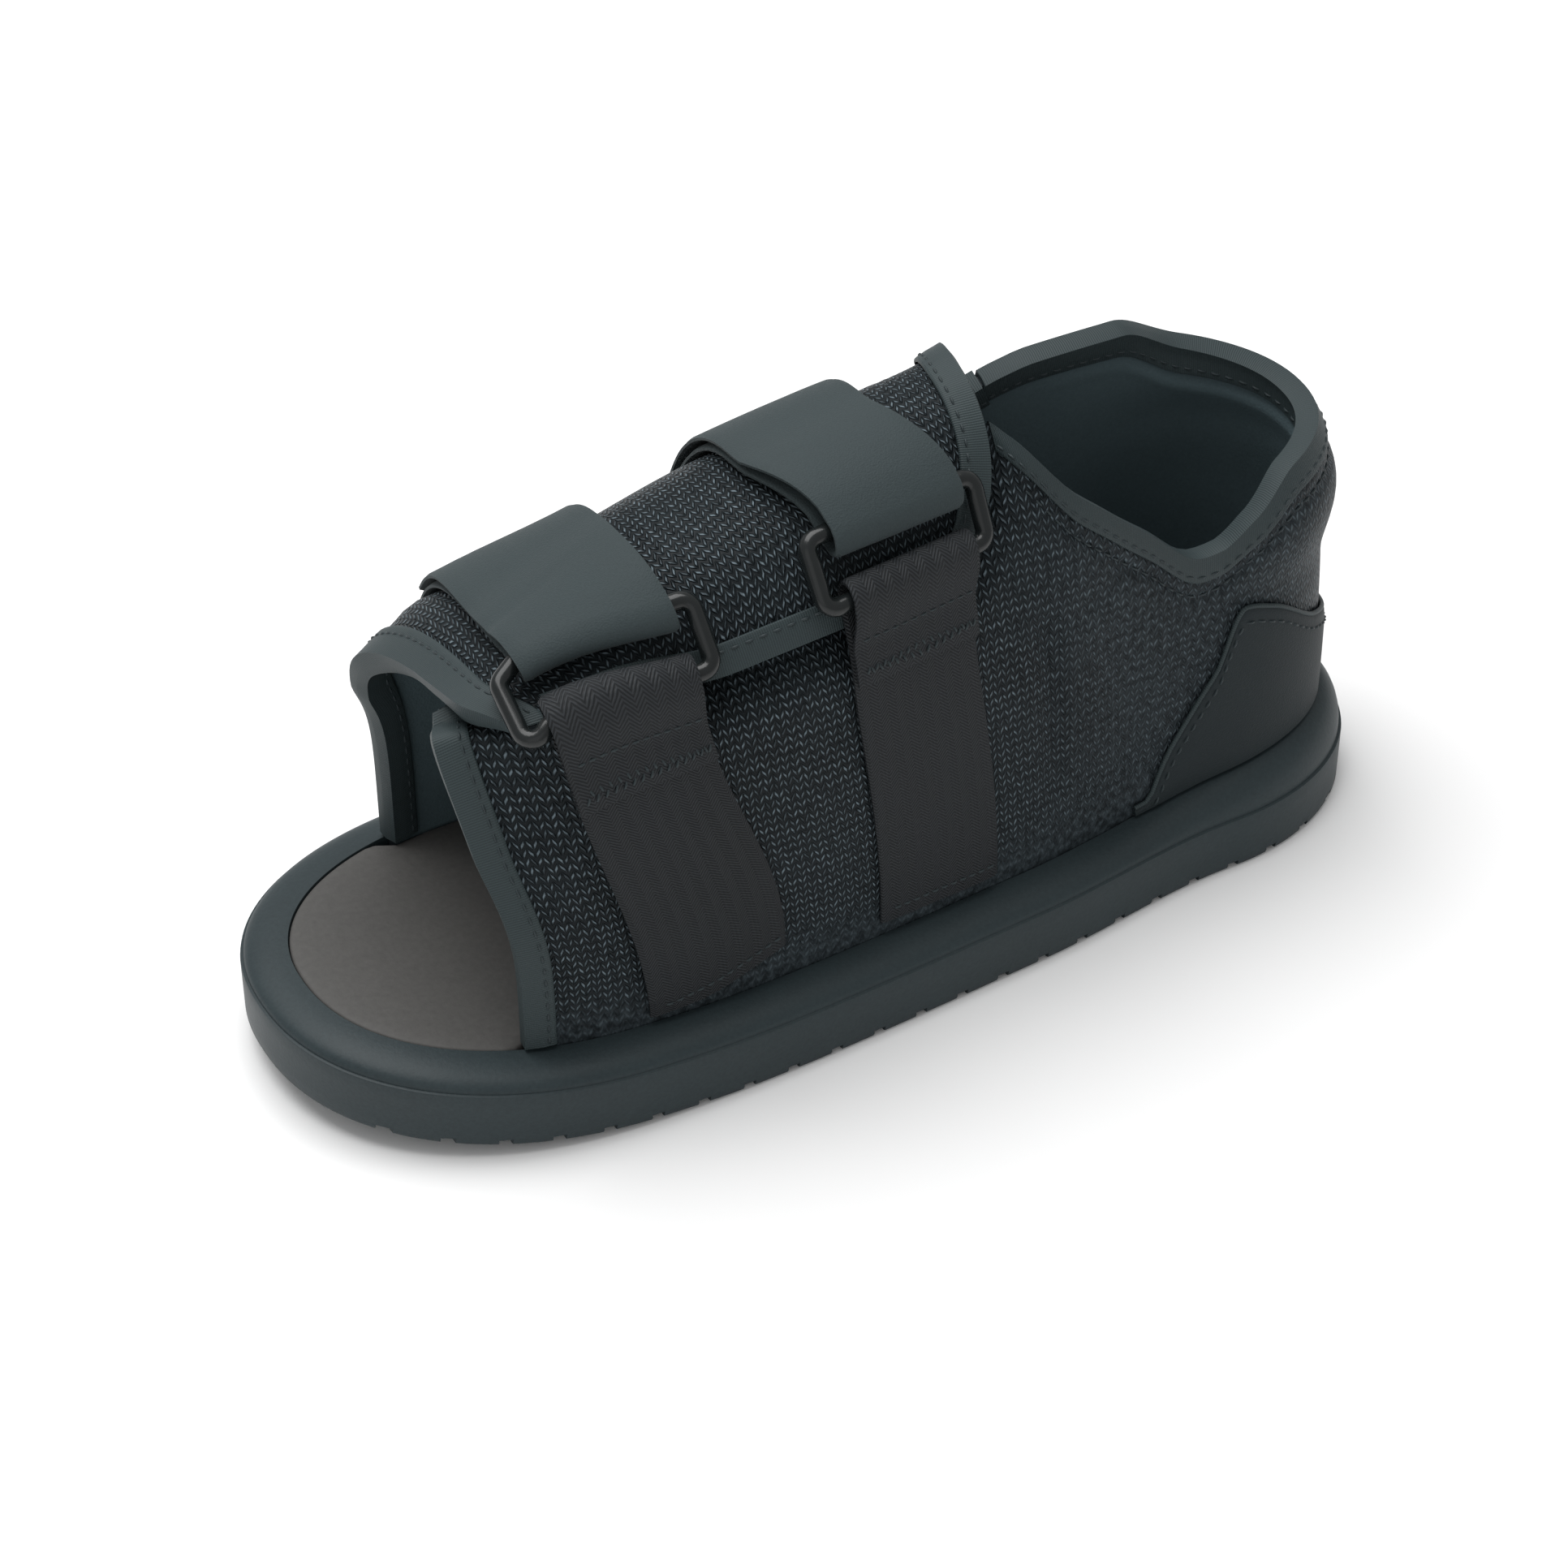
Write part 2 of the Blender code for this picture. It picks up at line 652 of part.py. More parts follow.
def bind_places(outer, inner, places, lift):
    """Adds one cross section of tape for places that run from the edge inward."""
    edge = (places[0][0] - places[1][0]).normalized()
    skin, lining = binding_profile(*zip(*places), edge, lift)
    outer.append(skin)
    inner.append(lining)


def collar_binding(stops):
    """Tape over the collar; its legs end on the rows of the shell that lie one tape width down."""
    outer, inner = [], []
    for course in stops:
        total = rib(course)[2][-1]
        places = [rib_at(course, total - BINDING_WIDTH * share) for share in (0.0, 0.5, 1.0)]
        bind_places(outer, inner, places, GAP)
    return sheet("collar_binding", outer, inner, "tape")


def inward_place(course, angle, direction, distance):
    """Place of the shell that lies a distance from another one, along a direction on its skin."""
    step = 0.002
    here = form_point(course, angle)
    along = (form_point(course + step, angle) - here) / step
    up = (form_point(course, angle + step) - here) / step
    aa, bb, ab = along.dot(along), up.dot(up), along.dot(up)
    da, db = direction.dot(along) * distance, direction.dot(up) * distance
    scale = aa * bb - ab * ab
    return skin_pair(course + (da * bb - db * ab) / scale, angle + (db * aa - da * ab) / scale)


def edge_binding(name, edge_places, side):
    """Tape over an edge of the shell given as courses and angles; side turns its way inward."""
    outer, inner = [], []
    points = [form_point(*place) for place in edge_places]
    for k, (course, angle) in enumerate(edge_places):
        way = (points[min(k + 1, len(points) - 1)] - points[max(k - 1, 0)]).normalized()
        normal = skin_pair(course, angle)[2]
        direction = normal.cross(way).normalized() * side
        places = [inward_place(course, angle, direction, BINDING_WIDTH * share) for share in (0.0, 0.5, 1.0)]
        bind_places(outer, inner, places, BINDING_GAP)
    return sheet(name, outer, inner, "tape")


def front_binding(name, columns, first, last):
    """Tape over a front edge; its legs end on the shell's own third column."""
    outer, inner = [], []
    foot = form_point(columns[0], own_angle(columns[0], 0.01))
    floor = rim_height(foot.x) + spring(foot.x) + RIM_CLEARANCE
    bind_places(outer, inner, [rib_at(c, length_to_height(c, floor)) for c in columns], BINDING_GAP)
    for j in range(first, last):
        bind_places(outer, inner, [rib_at(c, rib_rows(c)[j]) for c in columns], BINDING_GAP)
    return sheet(name, outer, inner, "tape")


def make_bindings():
    """Tape on the collar, on both front edges and on the flap's long edge."""
    collar_binding([c for c in courses() if COLLAR_START <= c <= COLLAR_END])
    stops = [COLLAR_END + TAPE_BUTT] + [c for c in courses() if COLLAR_END < c < FLAP_TAPE_END]
    edge_binding("flap_binding", [(c, own_angle(c, top_rise(c))) for c in stops], -1)
    front_binding("left_front_binding", courses()[:3], 1, UPPER_ROWS)
    front_binding("flap_front_binding", courses()[:-4:-1], 1, UPPER_ROWS + 1)


def make_counter():
    """Smooth heel patch on the outside of the shell, with a slanting front edge on each side."""
    outer, inner = [], []
    rows = 4
    for k in range(COUNTER_STEPS + 1):
        course = blend(-COUNTER_REACH, 1 + COUNTER_REACH, k / COUNTER_STEPS)
        ceiling = table(COUNTER_EDGE, "height", course) * INSTEP_HEIGHT
        floor = rim_height(form_point(course, own_angle(course, 0.01)).x) + RIM_CLEARANCE
        ceiling = max(ceiling, floor + COUNTER_TIP)
        low, high = length_to_height(course, floor), length_to_height(course, ceiling)
        row = [rib_at(course, blend(low, high, j / rows)) for j in range(rows + 1)]
        outer.append([p[0] + p[2] * (GAP + COUNTER_CLOTH) for p in row])
        inner.append([p[0] + p[2] * GAP for p in row])
    return sheet("heel_counter", outer, inner, "loop")


@lru_cache(maxsize=None)
def cross_section(x):
    """Angles of the section at x, with the distance from the ridge, positive on the left."""
    angles = [math.pi * k / 120 for k in range(121)]
    points = [side_point(x, angle) for angle in angles]
    ridge = 60
    lengths = [0.0] * 121
    for k in range(ridge - 1, -1, -1):
        lengths[k] = lengths[k + 1] + (points[k] - points[k + 1]).length
    for k in range(ridge + 1, 121):
        lengths[k] = lengths[k - 1] - (points[k] - points[k - 1]).length
    return angles, lengths


def angle_from_ridge(x, distance):
    angles, lengths = cross_section(x)
    distance = min(max(distance, lengths[-1]), lengths[0])
    k = max(i for i in range(120) if lengths[i] >= distance)
    t = (lengths[k] - distance) / max(1e-9, lengths[k] - lengths[k + 1])
    return blend(angles[k], angles[k + 1], t)


def ridge_distance(x, angle):
    angles, lengths = cross_section(x)
    k = min(119, int(angle / math.pi * 120))
    t = (angle - angles[k]) / (angles[k + 1] - angles[k])
    return blend(lengths[k], lengths[k + 1], t)


def over_foot(x, distance, lift):
    """Point over the form at x, at a distance from the ridge and a height above the skin."""
    x = round(x, 5)
    angle = angle_from_ridge(x, distance)
    step = 0.02
    low, high = max(0.001, angle - step), min(math.pi - 0.001, angle + step)
    across = side_point(x, low) - side_point(x, high)
    along = side_point(round(x + 0.002, 5), angle) - side_point(round(x - 0.002, 5), angle)
    normal = along.cross(across).normalized()
    return side_point(x, angle) + normal * lift


def ring_place(closure):
    """The ring's x, its middle's distance from the ridge, and how that grows with x."""
    x = closure["ring"] * SOLE_LENGTH
    reach = RING_LENGTH / 2
    toe = ridge_distance(round(x + reach, 5), math.radians(closure["toe_mid"]))
    heel = ridge_distance(round(x - reach, 5), math.radians(closure["heel_mid"]))
    return x, (toe + heel) / 2, (toe - heel) / RING_LENGTH


def ribbon(name, path, thickness, centre_at, width_at, skew_at, finish, columns=3):
    """Band of cloth: path is a list of distance and lift, the rest give its place and skew there."""
    outer, inner = [], []
    for k, (distance, lift) in enumerate(path):
        before = path[max(0, k - 1)]
        after = path[min(len(path) - 1, k + 1)]
        way = Vector((after[0] - before[0], after[1] - before[1])).normalized()
        side = Vector((-way.y, way.x)) * thickness / 2
        rows = []
        for sign in (1, -1):
            spot = (distance + sign * side.x, lift + sign * side.y)
            row = []
            for j in range(columns + 1):
                across = width_at(distance) * (j / columns - 0.5)
                skewed = spot[0] + across * skew_at(distance)
                row.append(over_foot(centre_at(distance) + across, skewed, spot[1]))
            rows.append(row)
        outer.append(rows[0])
        inner.append(rows[1])
    return sheet(name, outer, inner, finish)


def bar_lift():
    """Height of the ring's wire above the skin: the binding, the strap and the wire itself."""
    under = BINDING_GAP + BINDING_CLOTH + GAP + STRAP_THICKNESS + PLY_GAP
    return under + RING_WIRE / 2


def fillet(before, corner, after, steps=3):
    """Round corner between two straight bars."""
    u = (before - corner).normalized()
    v = (after - corner).normalized()
    half = math.acos(u.dot(v)) / 2
    out = -(u + v).normalized()
    centre = corner - out * RING_CORNER / math.sin(half)
    tangent = (v - u).normalized()
    sweep = math.pi / 2 - half
    turns = [blend(-sweep, sweep, k / steps) for k in range(steps + 1)]
    return [centre + (out * math.cos(a) + tangent * math.sin(a)) * RING_CORNER for a in turns]


def make_ring(closure):
    """Rounded rectangular ring of round wire, lying on the flap's edge."""
    x, middle, skew = ring_place(closure)

    def spot(along, across):
        a, b = along * RING_LENGTH / 2, across * RING_HEIGHT / 2
        return over_foot(x + a, middle + b + a * skew, bar_lift())

    seat = STRAP_WIDTH / RING_LENGTH
    line = []
    for across in (1, -1):
        stops = [spot(across * along, across) for along in (1, seat, seat / 3, -seat / 3, -seat, -1)]
        line += fillet(spot(across, -across), stops[0], stops[1])
        line += stops[1:5]
        line += fillet(stops[4], stops[5], spot(-across, -across))
    points, faces = [], []
    sides, count = 8, len(line)
    up = over_foot(x, middle, 0.02) - over_foot(x, middle, 0.01)
    up.normalize()
    for k, centre in enumerate(line):
        way = (line[(k + 1) % count] - line[k - 1]).normalized()
        out = way.cross(up).normalized()
        rise = out.cross(way)
        for j in range(sides):
            a = 2 * math.pi * j / sides
            points.append(centre + (out * math.cos(a) + rise * math.sin(a)) * RING_WIRE / 2)
    for k in range(count):
        for j in range(sides):
            a, b = k * sides + j, k * sides + (j + 1) % sides
            c, d = ((k + 1) % count) * sides + (j + 1) % sides, ((k + 1) % count) * sides + j
            faces.append([a, b, c, d])
    return add_mesh(closure["name"] + "_ring", points, faces, "plastic", 60)


def loop_path(bar, lift, radius, slack, steps=7):
    """Slack half turn round a ring's bar, from below to above, on the side of greater distance."""
    turns = [math.pi * (k / steps - 0.5) for k in range(steps + 1)]
    return [(bar + (radius + slack) * math.cos(a), lift + radius * math.sin(a)) for a in turns]


def make_strap(closure):
    """Strap from the right bottom edge over the instep, through the ring and back on itself."""
    x, middle, skew = ring_place(closure)
    bar = middle - RING_HEIGHT / 2
    radius = RING_WIRE / 2 + PLY_GAP + STRAP_THICKNESS / 2
    far_x = closure["far"] * SOLE_LENGTH
    bottom = cross_section(round(far_x, 5))[1][-1] + 0.0085
    rest = BINDING_GAP + BINDING_CLOTH + GAP + STRAP_THICKNESS / 2
    stack = STRAP_THICKNESS + PLY_GAP

    def low_lift(s):
        hump = STRAP_LIFT * ease((s - bottom) / STRAP_RAMP) * ease((bar - s) / STRAP_RAMP)
        near_ring = ease(2 * (s - bar + STRAP_RAMP) / STRAP_RAMP)
        return blend(GAP + STRAP_THICKNESS / 2, rest, near_ring) + hump

    def high_lift(s, end):
        hump = STRAP_BULGE * ease((s - end) / 0.02) * ease((bar - 0.012 - s) / 0.02)
        over_bar = (bar_lift() + radius - low_lift(s) - stack) * ease(1 + (s - bar) / 0.014)
        return low_lift(s) + stack + hump + over_bar

    end = -STRAP_RETURN
    path = [(s, low_lift(s)) for s in (blend(bottom, bar - 0.002, k / 16) for k in range(16))]
    path += loop_path(bar, bar_lift(), radius, STRAP_SLACK)
    path += [(s, high_lift(s, end)) for s in (blend(bar - 0.002, end, k / 14) for k in range(1, 15))]

    def centre(s):
        ridge, far = closure["ridge"] * SOLE_LENGTH, far_x
        if s > 0:
            return blend(ridge, x, ease(s / bar))
        return blend(ridge, far, ease(s / bottom))

    return ribbon(
        closure["name"] + "_strap", path, STRAP_THICKNESS, centre,
        lambda s: STRAP_WIDTH, lambda s: skew * ease(s / bar), "loop")


def make_webbing(closure):
    """Webbing from the left bottom edge up to the ring's lower bar, folded over it and stitched."""
    x, middle, skew = ring_place(closure)
    bar = middle + RING_HEIGHT / 2
    radius = RING_WIRE / 2 + PLY_GAP + WEBBING_THICKNESS / 2
    foot_x = closure["foot"] * SOLE_LENGTH
    bottom = cross_section(round(foot_x, 5))[1][0] - 0.0070
    stack = WEBBING_THICKNESS + PLY_GAP
    rest = bar_lift() - radius

    def low_lift(s):
        return blend(GAP + WEBBING_THICKNESS / 2, rest, ease(1 - (s - bar - WEBBING_LEVEL) / WEBBING_SLOPE))

    def high_lift(s):
        over_bar = (bar_lift() + radius - low_lift(s) - stack) * ease(1 - (s - bar) / 0.012)
        return low_lift(s) + stack + over_bar

    path = [(s, low_lift(s)) for s in (blend(bottom, bar + 0.002, k / 14) for k in range(14))]
    turn = [(2 * bar - s, n) for s, n in loop_path(bar, bar_lift(), radius, WEBBING_SLACK)]
    path += turn
    path += [(s, high_lift(s)) for s in (blend(bar + 0.002, bar + WEBBING_RETURN, k / 6) for k in range(1, 7))]

    def share(s):
        return ease((bottom - s) / (bottom - bar))

    return ribbon(
        closure["name"] + "_webbing", path, WEBBING_THICKNESS,
        lambda s: blend(foot_x, x, share(s)),
        lambda s: blend(closure["foot_width"], STRAP_WIDTH, share(s)),
        lambda s: skew * share(s), "web")


def main():
    clear_scene()
    make_sole()
    make_insole()
    make_upper()
    make_counter()
    make_bindings()
    for closure in CLOSURES:
        make_webbing(closure)
        make_ring(closure)
        make_strap(closure)


main()
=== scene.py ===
"""Looks of an open-toe post operative shoe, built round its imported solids.

Everything is in metres, with +X towards the toe, +Y towards the ring side and +Z up.
"""

import bisect
import json
import logging
import math
from dataclasses import dataclass
from enum import Enum
from functools import lru_cache
from typing import Any, Callable, Iterable, Optional, Sequence

import bmesh
import bpy
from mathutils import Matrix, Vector

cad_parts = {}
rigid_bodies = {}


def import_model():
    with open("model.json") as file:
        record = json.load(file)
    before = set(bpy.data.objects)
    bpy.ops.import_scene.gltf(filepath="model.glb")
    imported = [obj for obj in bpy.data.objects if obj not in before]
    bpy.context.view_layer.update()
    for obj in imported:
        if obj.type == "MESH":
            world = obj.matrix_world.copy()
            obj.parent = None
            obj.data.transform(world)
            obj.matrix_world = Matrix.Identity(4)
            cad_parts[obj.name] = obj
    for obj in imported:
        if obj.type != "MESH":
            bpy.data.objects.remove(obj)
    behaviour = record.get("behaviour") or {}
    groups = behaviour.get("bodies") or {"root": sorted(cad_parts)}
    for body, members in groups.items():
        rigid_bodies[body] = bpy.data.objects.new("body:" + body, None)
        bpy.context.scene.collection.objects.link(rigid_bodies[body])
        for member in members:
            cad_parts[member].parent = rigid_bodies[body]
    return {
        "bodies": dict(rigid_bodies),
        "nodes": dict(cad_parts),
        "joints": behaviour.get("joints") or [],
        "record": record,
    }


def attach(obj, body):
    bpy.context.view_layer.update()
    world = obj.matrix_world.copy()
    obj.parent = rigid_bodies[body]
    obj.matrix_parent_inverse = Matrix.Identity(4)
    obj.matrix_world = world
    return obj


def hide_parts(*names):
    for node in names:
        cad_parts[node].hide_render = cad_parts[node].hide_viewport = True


LOG = logging.getLogger("post_operative_shoe")
MM = 0.001
BODY = "root"

Place = tuple[Vector, Vector, Vector]
Line = Sequence[tuple[Vector, Vector]]
Lane = Callable[[float], tuple[float, float, float]]
Grid = list[list[Vector]]


def ease(t: float) -> float:
    """Smooth step from 0 to 1."""
    t = min(1.0, max(0.0, t))
    return t * t * (3 - 2 * t)


def blend(a: float, b: float, t: float) -> float:
    """Value part way from a to b."""
    return a + (b - a) * t


def spread(a: float, b: float, count: int) -> list[float]:
    """Even values from a to b.

    Args:
        a: First value.
        b: Last value.
        count: Number of steps between them.

    Returns:
        One value more than there are steps.
    """
    return [blend(a, b, k / count) for k in range(count + 1)]


def travel(line: Sequence[Vector]) -> list[float]:
    """Adds up the distance along a line.

    Args:
        line: Points of the line.

    Returns:
        The distance from its start at each point.
    """
    lengths = [0.0]
    for a, b in zip(line, line[1:]):
        lengths.append(lengths[-1] + (b - a).length)
    return lengths


def locate(lengths: Sequence[float], length: float) -> tuple[int, float]:
    """Finds a distance among rising ones.

    Args:
        lengths: Distances in rising order.
        length: The one to find.

    Returns:
        Number of the stretch it lies in, and how far along that is, from 0 to 1.
    """
    k = min(len(lengths) - 2, bisect.bisect_right(lengths, length) - 1)
    return k, (length - lengths[k]) / max(1e-9, lengths[k + 1] - lengths[k])


class Curve:
    """Smooth monotone curve through a few chosen points, level past its ends."""

    def __init__(self, points: Iterable[tuple[float, float]]) -> None:
        """Keeps the points and works out a tangent at each.

        Args:
            points: Pairs of place and value, in rising order of place.
        """
        pairs = list(points)
        self.xs = [p[0] for p in pairs]
        self.ys = [p[1] for p in pairs]
        steps = [b - a for a, b in zip(self.xs, self.xs[1:])]
        slopes = [(b - a) / h for a, b, h in zip(self.ys, self.ys[1:], steps)]
        self.tangents = [0.0] * len(pairs)
        for i in range(1, len(pairs) - 1):
            if slopes[i - 1] * slopes[i] > 0:
                before = 2 * steps[i] + steps[i - 1]
                after = steps[i] + 2 * steps[i - 1]
                mean = before / slopes[i - 1] + after / slopes[i]
                self.tangents[i] = (before + after) / mean

    def __call__(self, x: float) -> float:
        """Value of the curve at x.

        Args:
            x: Place along the curve.

        Returns:
            The value there.
        """
        if x <= self.xs[0]:
            return self.ys[0]
        if x >= self.xs[-1]:
            return self.ys[-1]
        i = bisect.bisect_right(self.xs, x) - 1
        h = self.xs[i + 1] - self.xs[i]
        t = (x - self.xs[i]) / h
        start = (1 + 2 * t) * (1 - t) ** 2 * self.ys[i] + t * (1 - t) ** 2 * h * self.tangents[i]
        end = t * t * (3 - 2 * t) * self.ys[i + 1] + t * t * (t - 1) * h * self.tangents[i + 1]
        return start + end


@dataclass(frozen=True)
class Section:
    """Cross section of the foot's form; x, crest and the rest are shares of the named sizes."""

    x: float
    crest: float
    lean: float
    drop: float
    left_side: float
    left_top: float
    right_side: float
    right_top: float


@dataclass(eq=False)
class Last:
    """Form of the foot and outline of the sole."""

    length: float = 285 * MM
    ball_width: float = 111.6 * MM
    waist_width: float = 97.4 * MM
    heel_width: float = 81.0 * MM
    toe_length: float = 75.1 * MM
    heel_length: float = 51.0 * MM
    left_toe_fullness: float = 2.24
    right_toe_fullness: float = 2.08
    heel_fullness: float = 2.08
    toe_curve: float = 1.6 * MM
    toe_spring: float = 7.0 * MM
    toe_break: float = 0.12
    rim: float = 19.0 * MM
    rim_inset: float = 11.0 * MM
    heel_rim: float = 26.0 * MM
    heel_rim_inset: float = 8.0 * MM
    deck: float = 16.0 * MM
    instep: float = 136.0 * MM
    heel_centre: float = -90.0 * MM
    gap: float = 0.3 * MM
    girth_steps: int = 160
    halvings: int = 40

    SECTIONS = (
        Section(-0.500, 1.100, 0.00, 0.00, 2.4, 2.8, 2.4, 2.8),
        Section(-0.300, 1.100, 0.00, 0.00, 2.4, 2.8, 2.4, 2.8),
        Section(-0.210, 1.080, 0.00, 0.00, 2.4, 2.7, 2.5, 2.8),
        Section(-0.110, 0.995, -0.03, 0.00, 2.2, 2.2, 2.4, 2.4),
        Section(-0.018, 0.958, -0.02, 0.00, 2.6, 2.6, 2.5, 2.6),
        Section(0.070, 0.930, 0.00, 0.00, 3.0, 3.0, 2.4, 2.5),
        Section(0.165, 0.875, 0.04, 0.00, 2.8, 2.8, 2.4, 2.5),
        Section(0.281, 0.785, 0.09, 0.00, 4.0, 4.2, 2.4, 4.6),
        Section(0.345, 0.735, 0.28, 0.19, 2.6, 5.0, 7.0, 7.0),
        Section(0.400, 0.710, 0.28, 0.19, 2.6, 5.0, 7.0, 7.0),
    )
    # Where the front edges lie as shares of the length, by share of the turn from base to base
    LEFT_FRONT = Curve(((0.00, 0.330), (0.11, 0.347), (0.28, 0.354), (0.50, 0.343)))
    FLAP_FRONT = Curve(((0.34, 0.305), (0.50, 0.334), (0.75, 0.347), (0.86, 0.344), (1.00, 0.325)))

    def __post_init__(self) -> None:
        """Makes the curves through the sections' columns and through the outline's widths."""
        names = ("crest", "lean", "drop", "left_side", "left_top", "right_side", "right_top")
        self.columns = {
            name: Curve((row.x, getattr(row, name)) for row in self.SECTIONS) for name in names
        }
        self.outline = Curve((
            (-0.500, self.heel_width), (-0.330, self.heel_width), (-0.120, self.waist_width),
            (0.220, self.ball_width), (0.500, self.ball_width)))

    def toe_share(self, x: float) -> float:
        """Square of the way from the ball to the toe tip."""
        return max(0.0, (x / self.length - self.toe_break) / (0.5 - self.toe_break)) ** 2

    def spring(self, x: float) -> float:
        """Rise of the sole at x."""
        return self.toe_spring * self.toe_share(x)

    def sway(self, x: float) -> float:
        """Sideways shift of the sole's middle at x."""
        return -self.toe_curve * self.toe_share(x)

    def heel_share(self, x: float) -> float:
        """Grows from 0 at the waist to 1 at the heel."""
        return ease((-0.20 - x / self.length) / 0.22)

    def rim_inset_at(self, x: float) -> float:
        """Distance of the rim from the sole's outline."""
        return blend(self.rim_inset, self.heel_rim_inset, self.heel_share(x))

    def rim_at(self, x: float) -> float:
        """Height of the rim above the sole's lower face."""
        return blend(self.rim, self.heel_rim, self.heel_share(x))

    @lru_cache(maxsize=None)
    def half_width(self, x: float, inset: float, right: bool = False) -> float:
        """Half width of the sole's outline, drawn in by inset.

        Args:
            x: Place along the sole.
            inset: How far the outline is drawn in.
            right: True for the right side, which is fuller at the toe.

        Returns:
            The half width in metres.
        """
        half = self.length / 2 - inset
        width = self.outline(x / self.length) / 2 - inset
        toe_fullness = self.right_toe_fullness if right else self.left_toe_fullness
        ends = ((self.toe_length, toe_fullness, x), (self.heel_length, self.heel_fullness, -x))
        for length, fullness, reach in ends:
            t = (reach - (half - (length - inset))) / (length - inset)
            t = min(1.0, max(0.0, t))
            width *= (1 - t ** fullness) ** (1 / fullness)
        return width

    @lru_cache(maxsize=None)
    def section(self, x: float) -> dict[str, float]:
        """Values of the sections' columns at x, by name."""
        share = x / self.length
        return {name: curve(share) for name, curve in self.columns.items()}

    @lru_cache(maxsize=None)
    def foot_half(self, x: float, right: bool = False) -> float:
        """Half width of the foot's form at its base."""
        return self.half_width(x, self.rim_inset_at(x) + self.gap, right)

    @lru_cache(maxsize=None)
    def heel_reach(self, turn: float) -> float:
        """Distance from the heel centre to the base of the form.

        Args:
            turn: Plan angle round the heel centre.

        Returns:
            The distance in metres.
        """
        back = self.length / 2 - self.heel_rim_inset - self.gap
        low, high = 0.0, self.length / 3
        for _ in range(self.halvings):
            middle = (low + high) / 2
            x = self.heel_centre + middle * math.cos(turn)
            if x > -back and abs(middle * math.sin(turn)) < self.foot_half(x):
                low = middle
            else:
                high = middle
        return low

    def base(self, x: float) -> float:
        """Height of the form's base."""
        return self.deck + self.gap + self.spring(x)

    @lru_cache(maxsize=None)
    def side_point(self, x: float, angle: float) -> Vector:
        """Point of the cross section.

        Args:
            x: Place along the foot.
            angle: Angle from the left base over to the right one.

        Returns:
            The point in metres.
        """
        shape = self.section(x)
        ridge_y = self.sway(x) + shape["lean"] * self.ball_width / 2
        across = abs(math.cos(angle))
        up = max(0.0, math.sin(angle))
        crest = shape["crest"] * self.instep - self.base(x)
        if angle < math.pi / 2:
            out = across ** (2 / shape["left_side"])
            y = ridge_y + (self.foot_half(x) + self.sway(x) - ridge_y) * out
            z = crest * up ** (2 / shape["left_top"])
        else:
            out = across ** (2 / shape["right_side"])
            y = ridge_y - (self.foot_half(x, True) - self.sway(x) + ridge_y) * out
            z = crest * (1 - shape["drop"] * out) * up ** (2 / shape["right_top"])
        return Vector((x, y, self.base(x) + z))

    @lru_cache(maxsize=None)
    def heel_point(self, turn: float, angle: float) -> Vector:
        """Point of the form behind the heel centre.

        Args:
            turn: Plan angle round the heel centre.
            angle: Angle up from the base.

        Returns:
            The point in metres.
        """
        shape = self.section(self.heel_centre)
        out = self.heel_reach(turn) * math.cos(angle) ** (2 / shape["left_side"])
        base = self.base(self.heel_centre)
        crest = shape["crest"] * self.instep - base
        z = base + crest * math.sin(angle) ** (2 / shape["left_top"])
        return Vector((self.heel_centre + out * math.cos(turn), out * math.sin(turn), z))

    def point(self, course: float, angle: float) -> Vector:
        """Point of the form.

        Args:
            course: -1 at the left front, 0 to 1 round the heel and 2 at the right front.
            angle: Angle from the left base on the sides, and from the base at the heel.

        Returns:
            The point in metres.
        """
        if 0.0 < course < 1.0:
            return self.heel_point(math.radians(90 + 180 * course), angle)
        edge = self.LEFT_FRONT if course <= 0 else self.FLAP_FRONT
        front = edge(angle / math.pi) * self.length
        share = -course if course <= 0 else course - 1
        return self.side_point(blend(self.heel_centre, front, share), angle)

    def normal(self, course: float, angle: float) -> Vector:
        """Outward normal of the form.

        Args:
            course: -1 at the left front, 0 to 1 round the heel and 2 at the right front.
            angle: Angle of the place, as in point.

        Returns:
            The normal, one long.
        """
        step_u, step_v, margin = 0.004, 0.01, 0.0005
        low, high = max(4 * margin, angle - step_v), angle + step_v
        if 0.0 < course < 1.0:
            high = min(high, math.pi / 2 - 2 * margin)
            u0, u1 = max(margin, course - step_u), min(1 - margin, course + step_u)
        elif course <= 0:
            u0, u1 = course - step_u, min(0.0, course + step_u)
        else:
            u0, u1 = max(1.0, course - step_u), course + step_u
        along = self.point(u1, angle) - self.point(u0, angle)
        up = self.point(course, high) - self.point(course, low)
        if course >= 1.0:
            up = -up
        return along.cross(up).normalized()

    @lru_cache(maxsize=None)
    def girth(self, x: float) -> tuple[list[float], list[float]]:
        """Measures the section at x with a tape.

        Args:
            x: Place along the foot.

        Returns:
            Its angles, and at each the distance from the ridge, positive on the left.
        """
        count = self.girth_steps
        angles = [math.pi * k / count for k in range(count + 1)]
        points = [self.side_point(x, angle) for angle in angles]
        ridge = count // 2
        lengths = [0.0] * (count + 1)
        for k in range(ridge - 1, -1, -1):
            lengths[k] = lengths[k + 1] + (points[k] - points[k + 1]).length
        for k in range(ridge + 1, count + 1):
            lengths[k] = lengths[k - 1] - (points[k] - points[k - 1]).length
        return angles, lengths

    def ridge_distance(self, x: float, angle: float) -> float:
        """Distance over the skin from the ridge.

        Args:
            x: Place along the foot.
            angle: Angle of the place in the section.

        Returns:
            The distance in metres, positive on the left.
        """
        angles, lengths = self.girth(x)
        count = len(angles) - 1
        k = min(count - 1, int(angle / math.pi * count))
        t = (angle - angles[k]) / (angles[k + 1] - angles[k])
        return blend(lengths[k], lengths[k + 1], t)

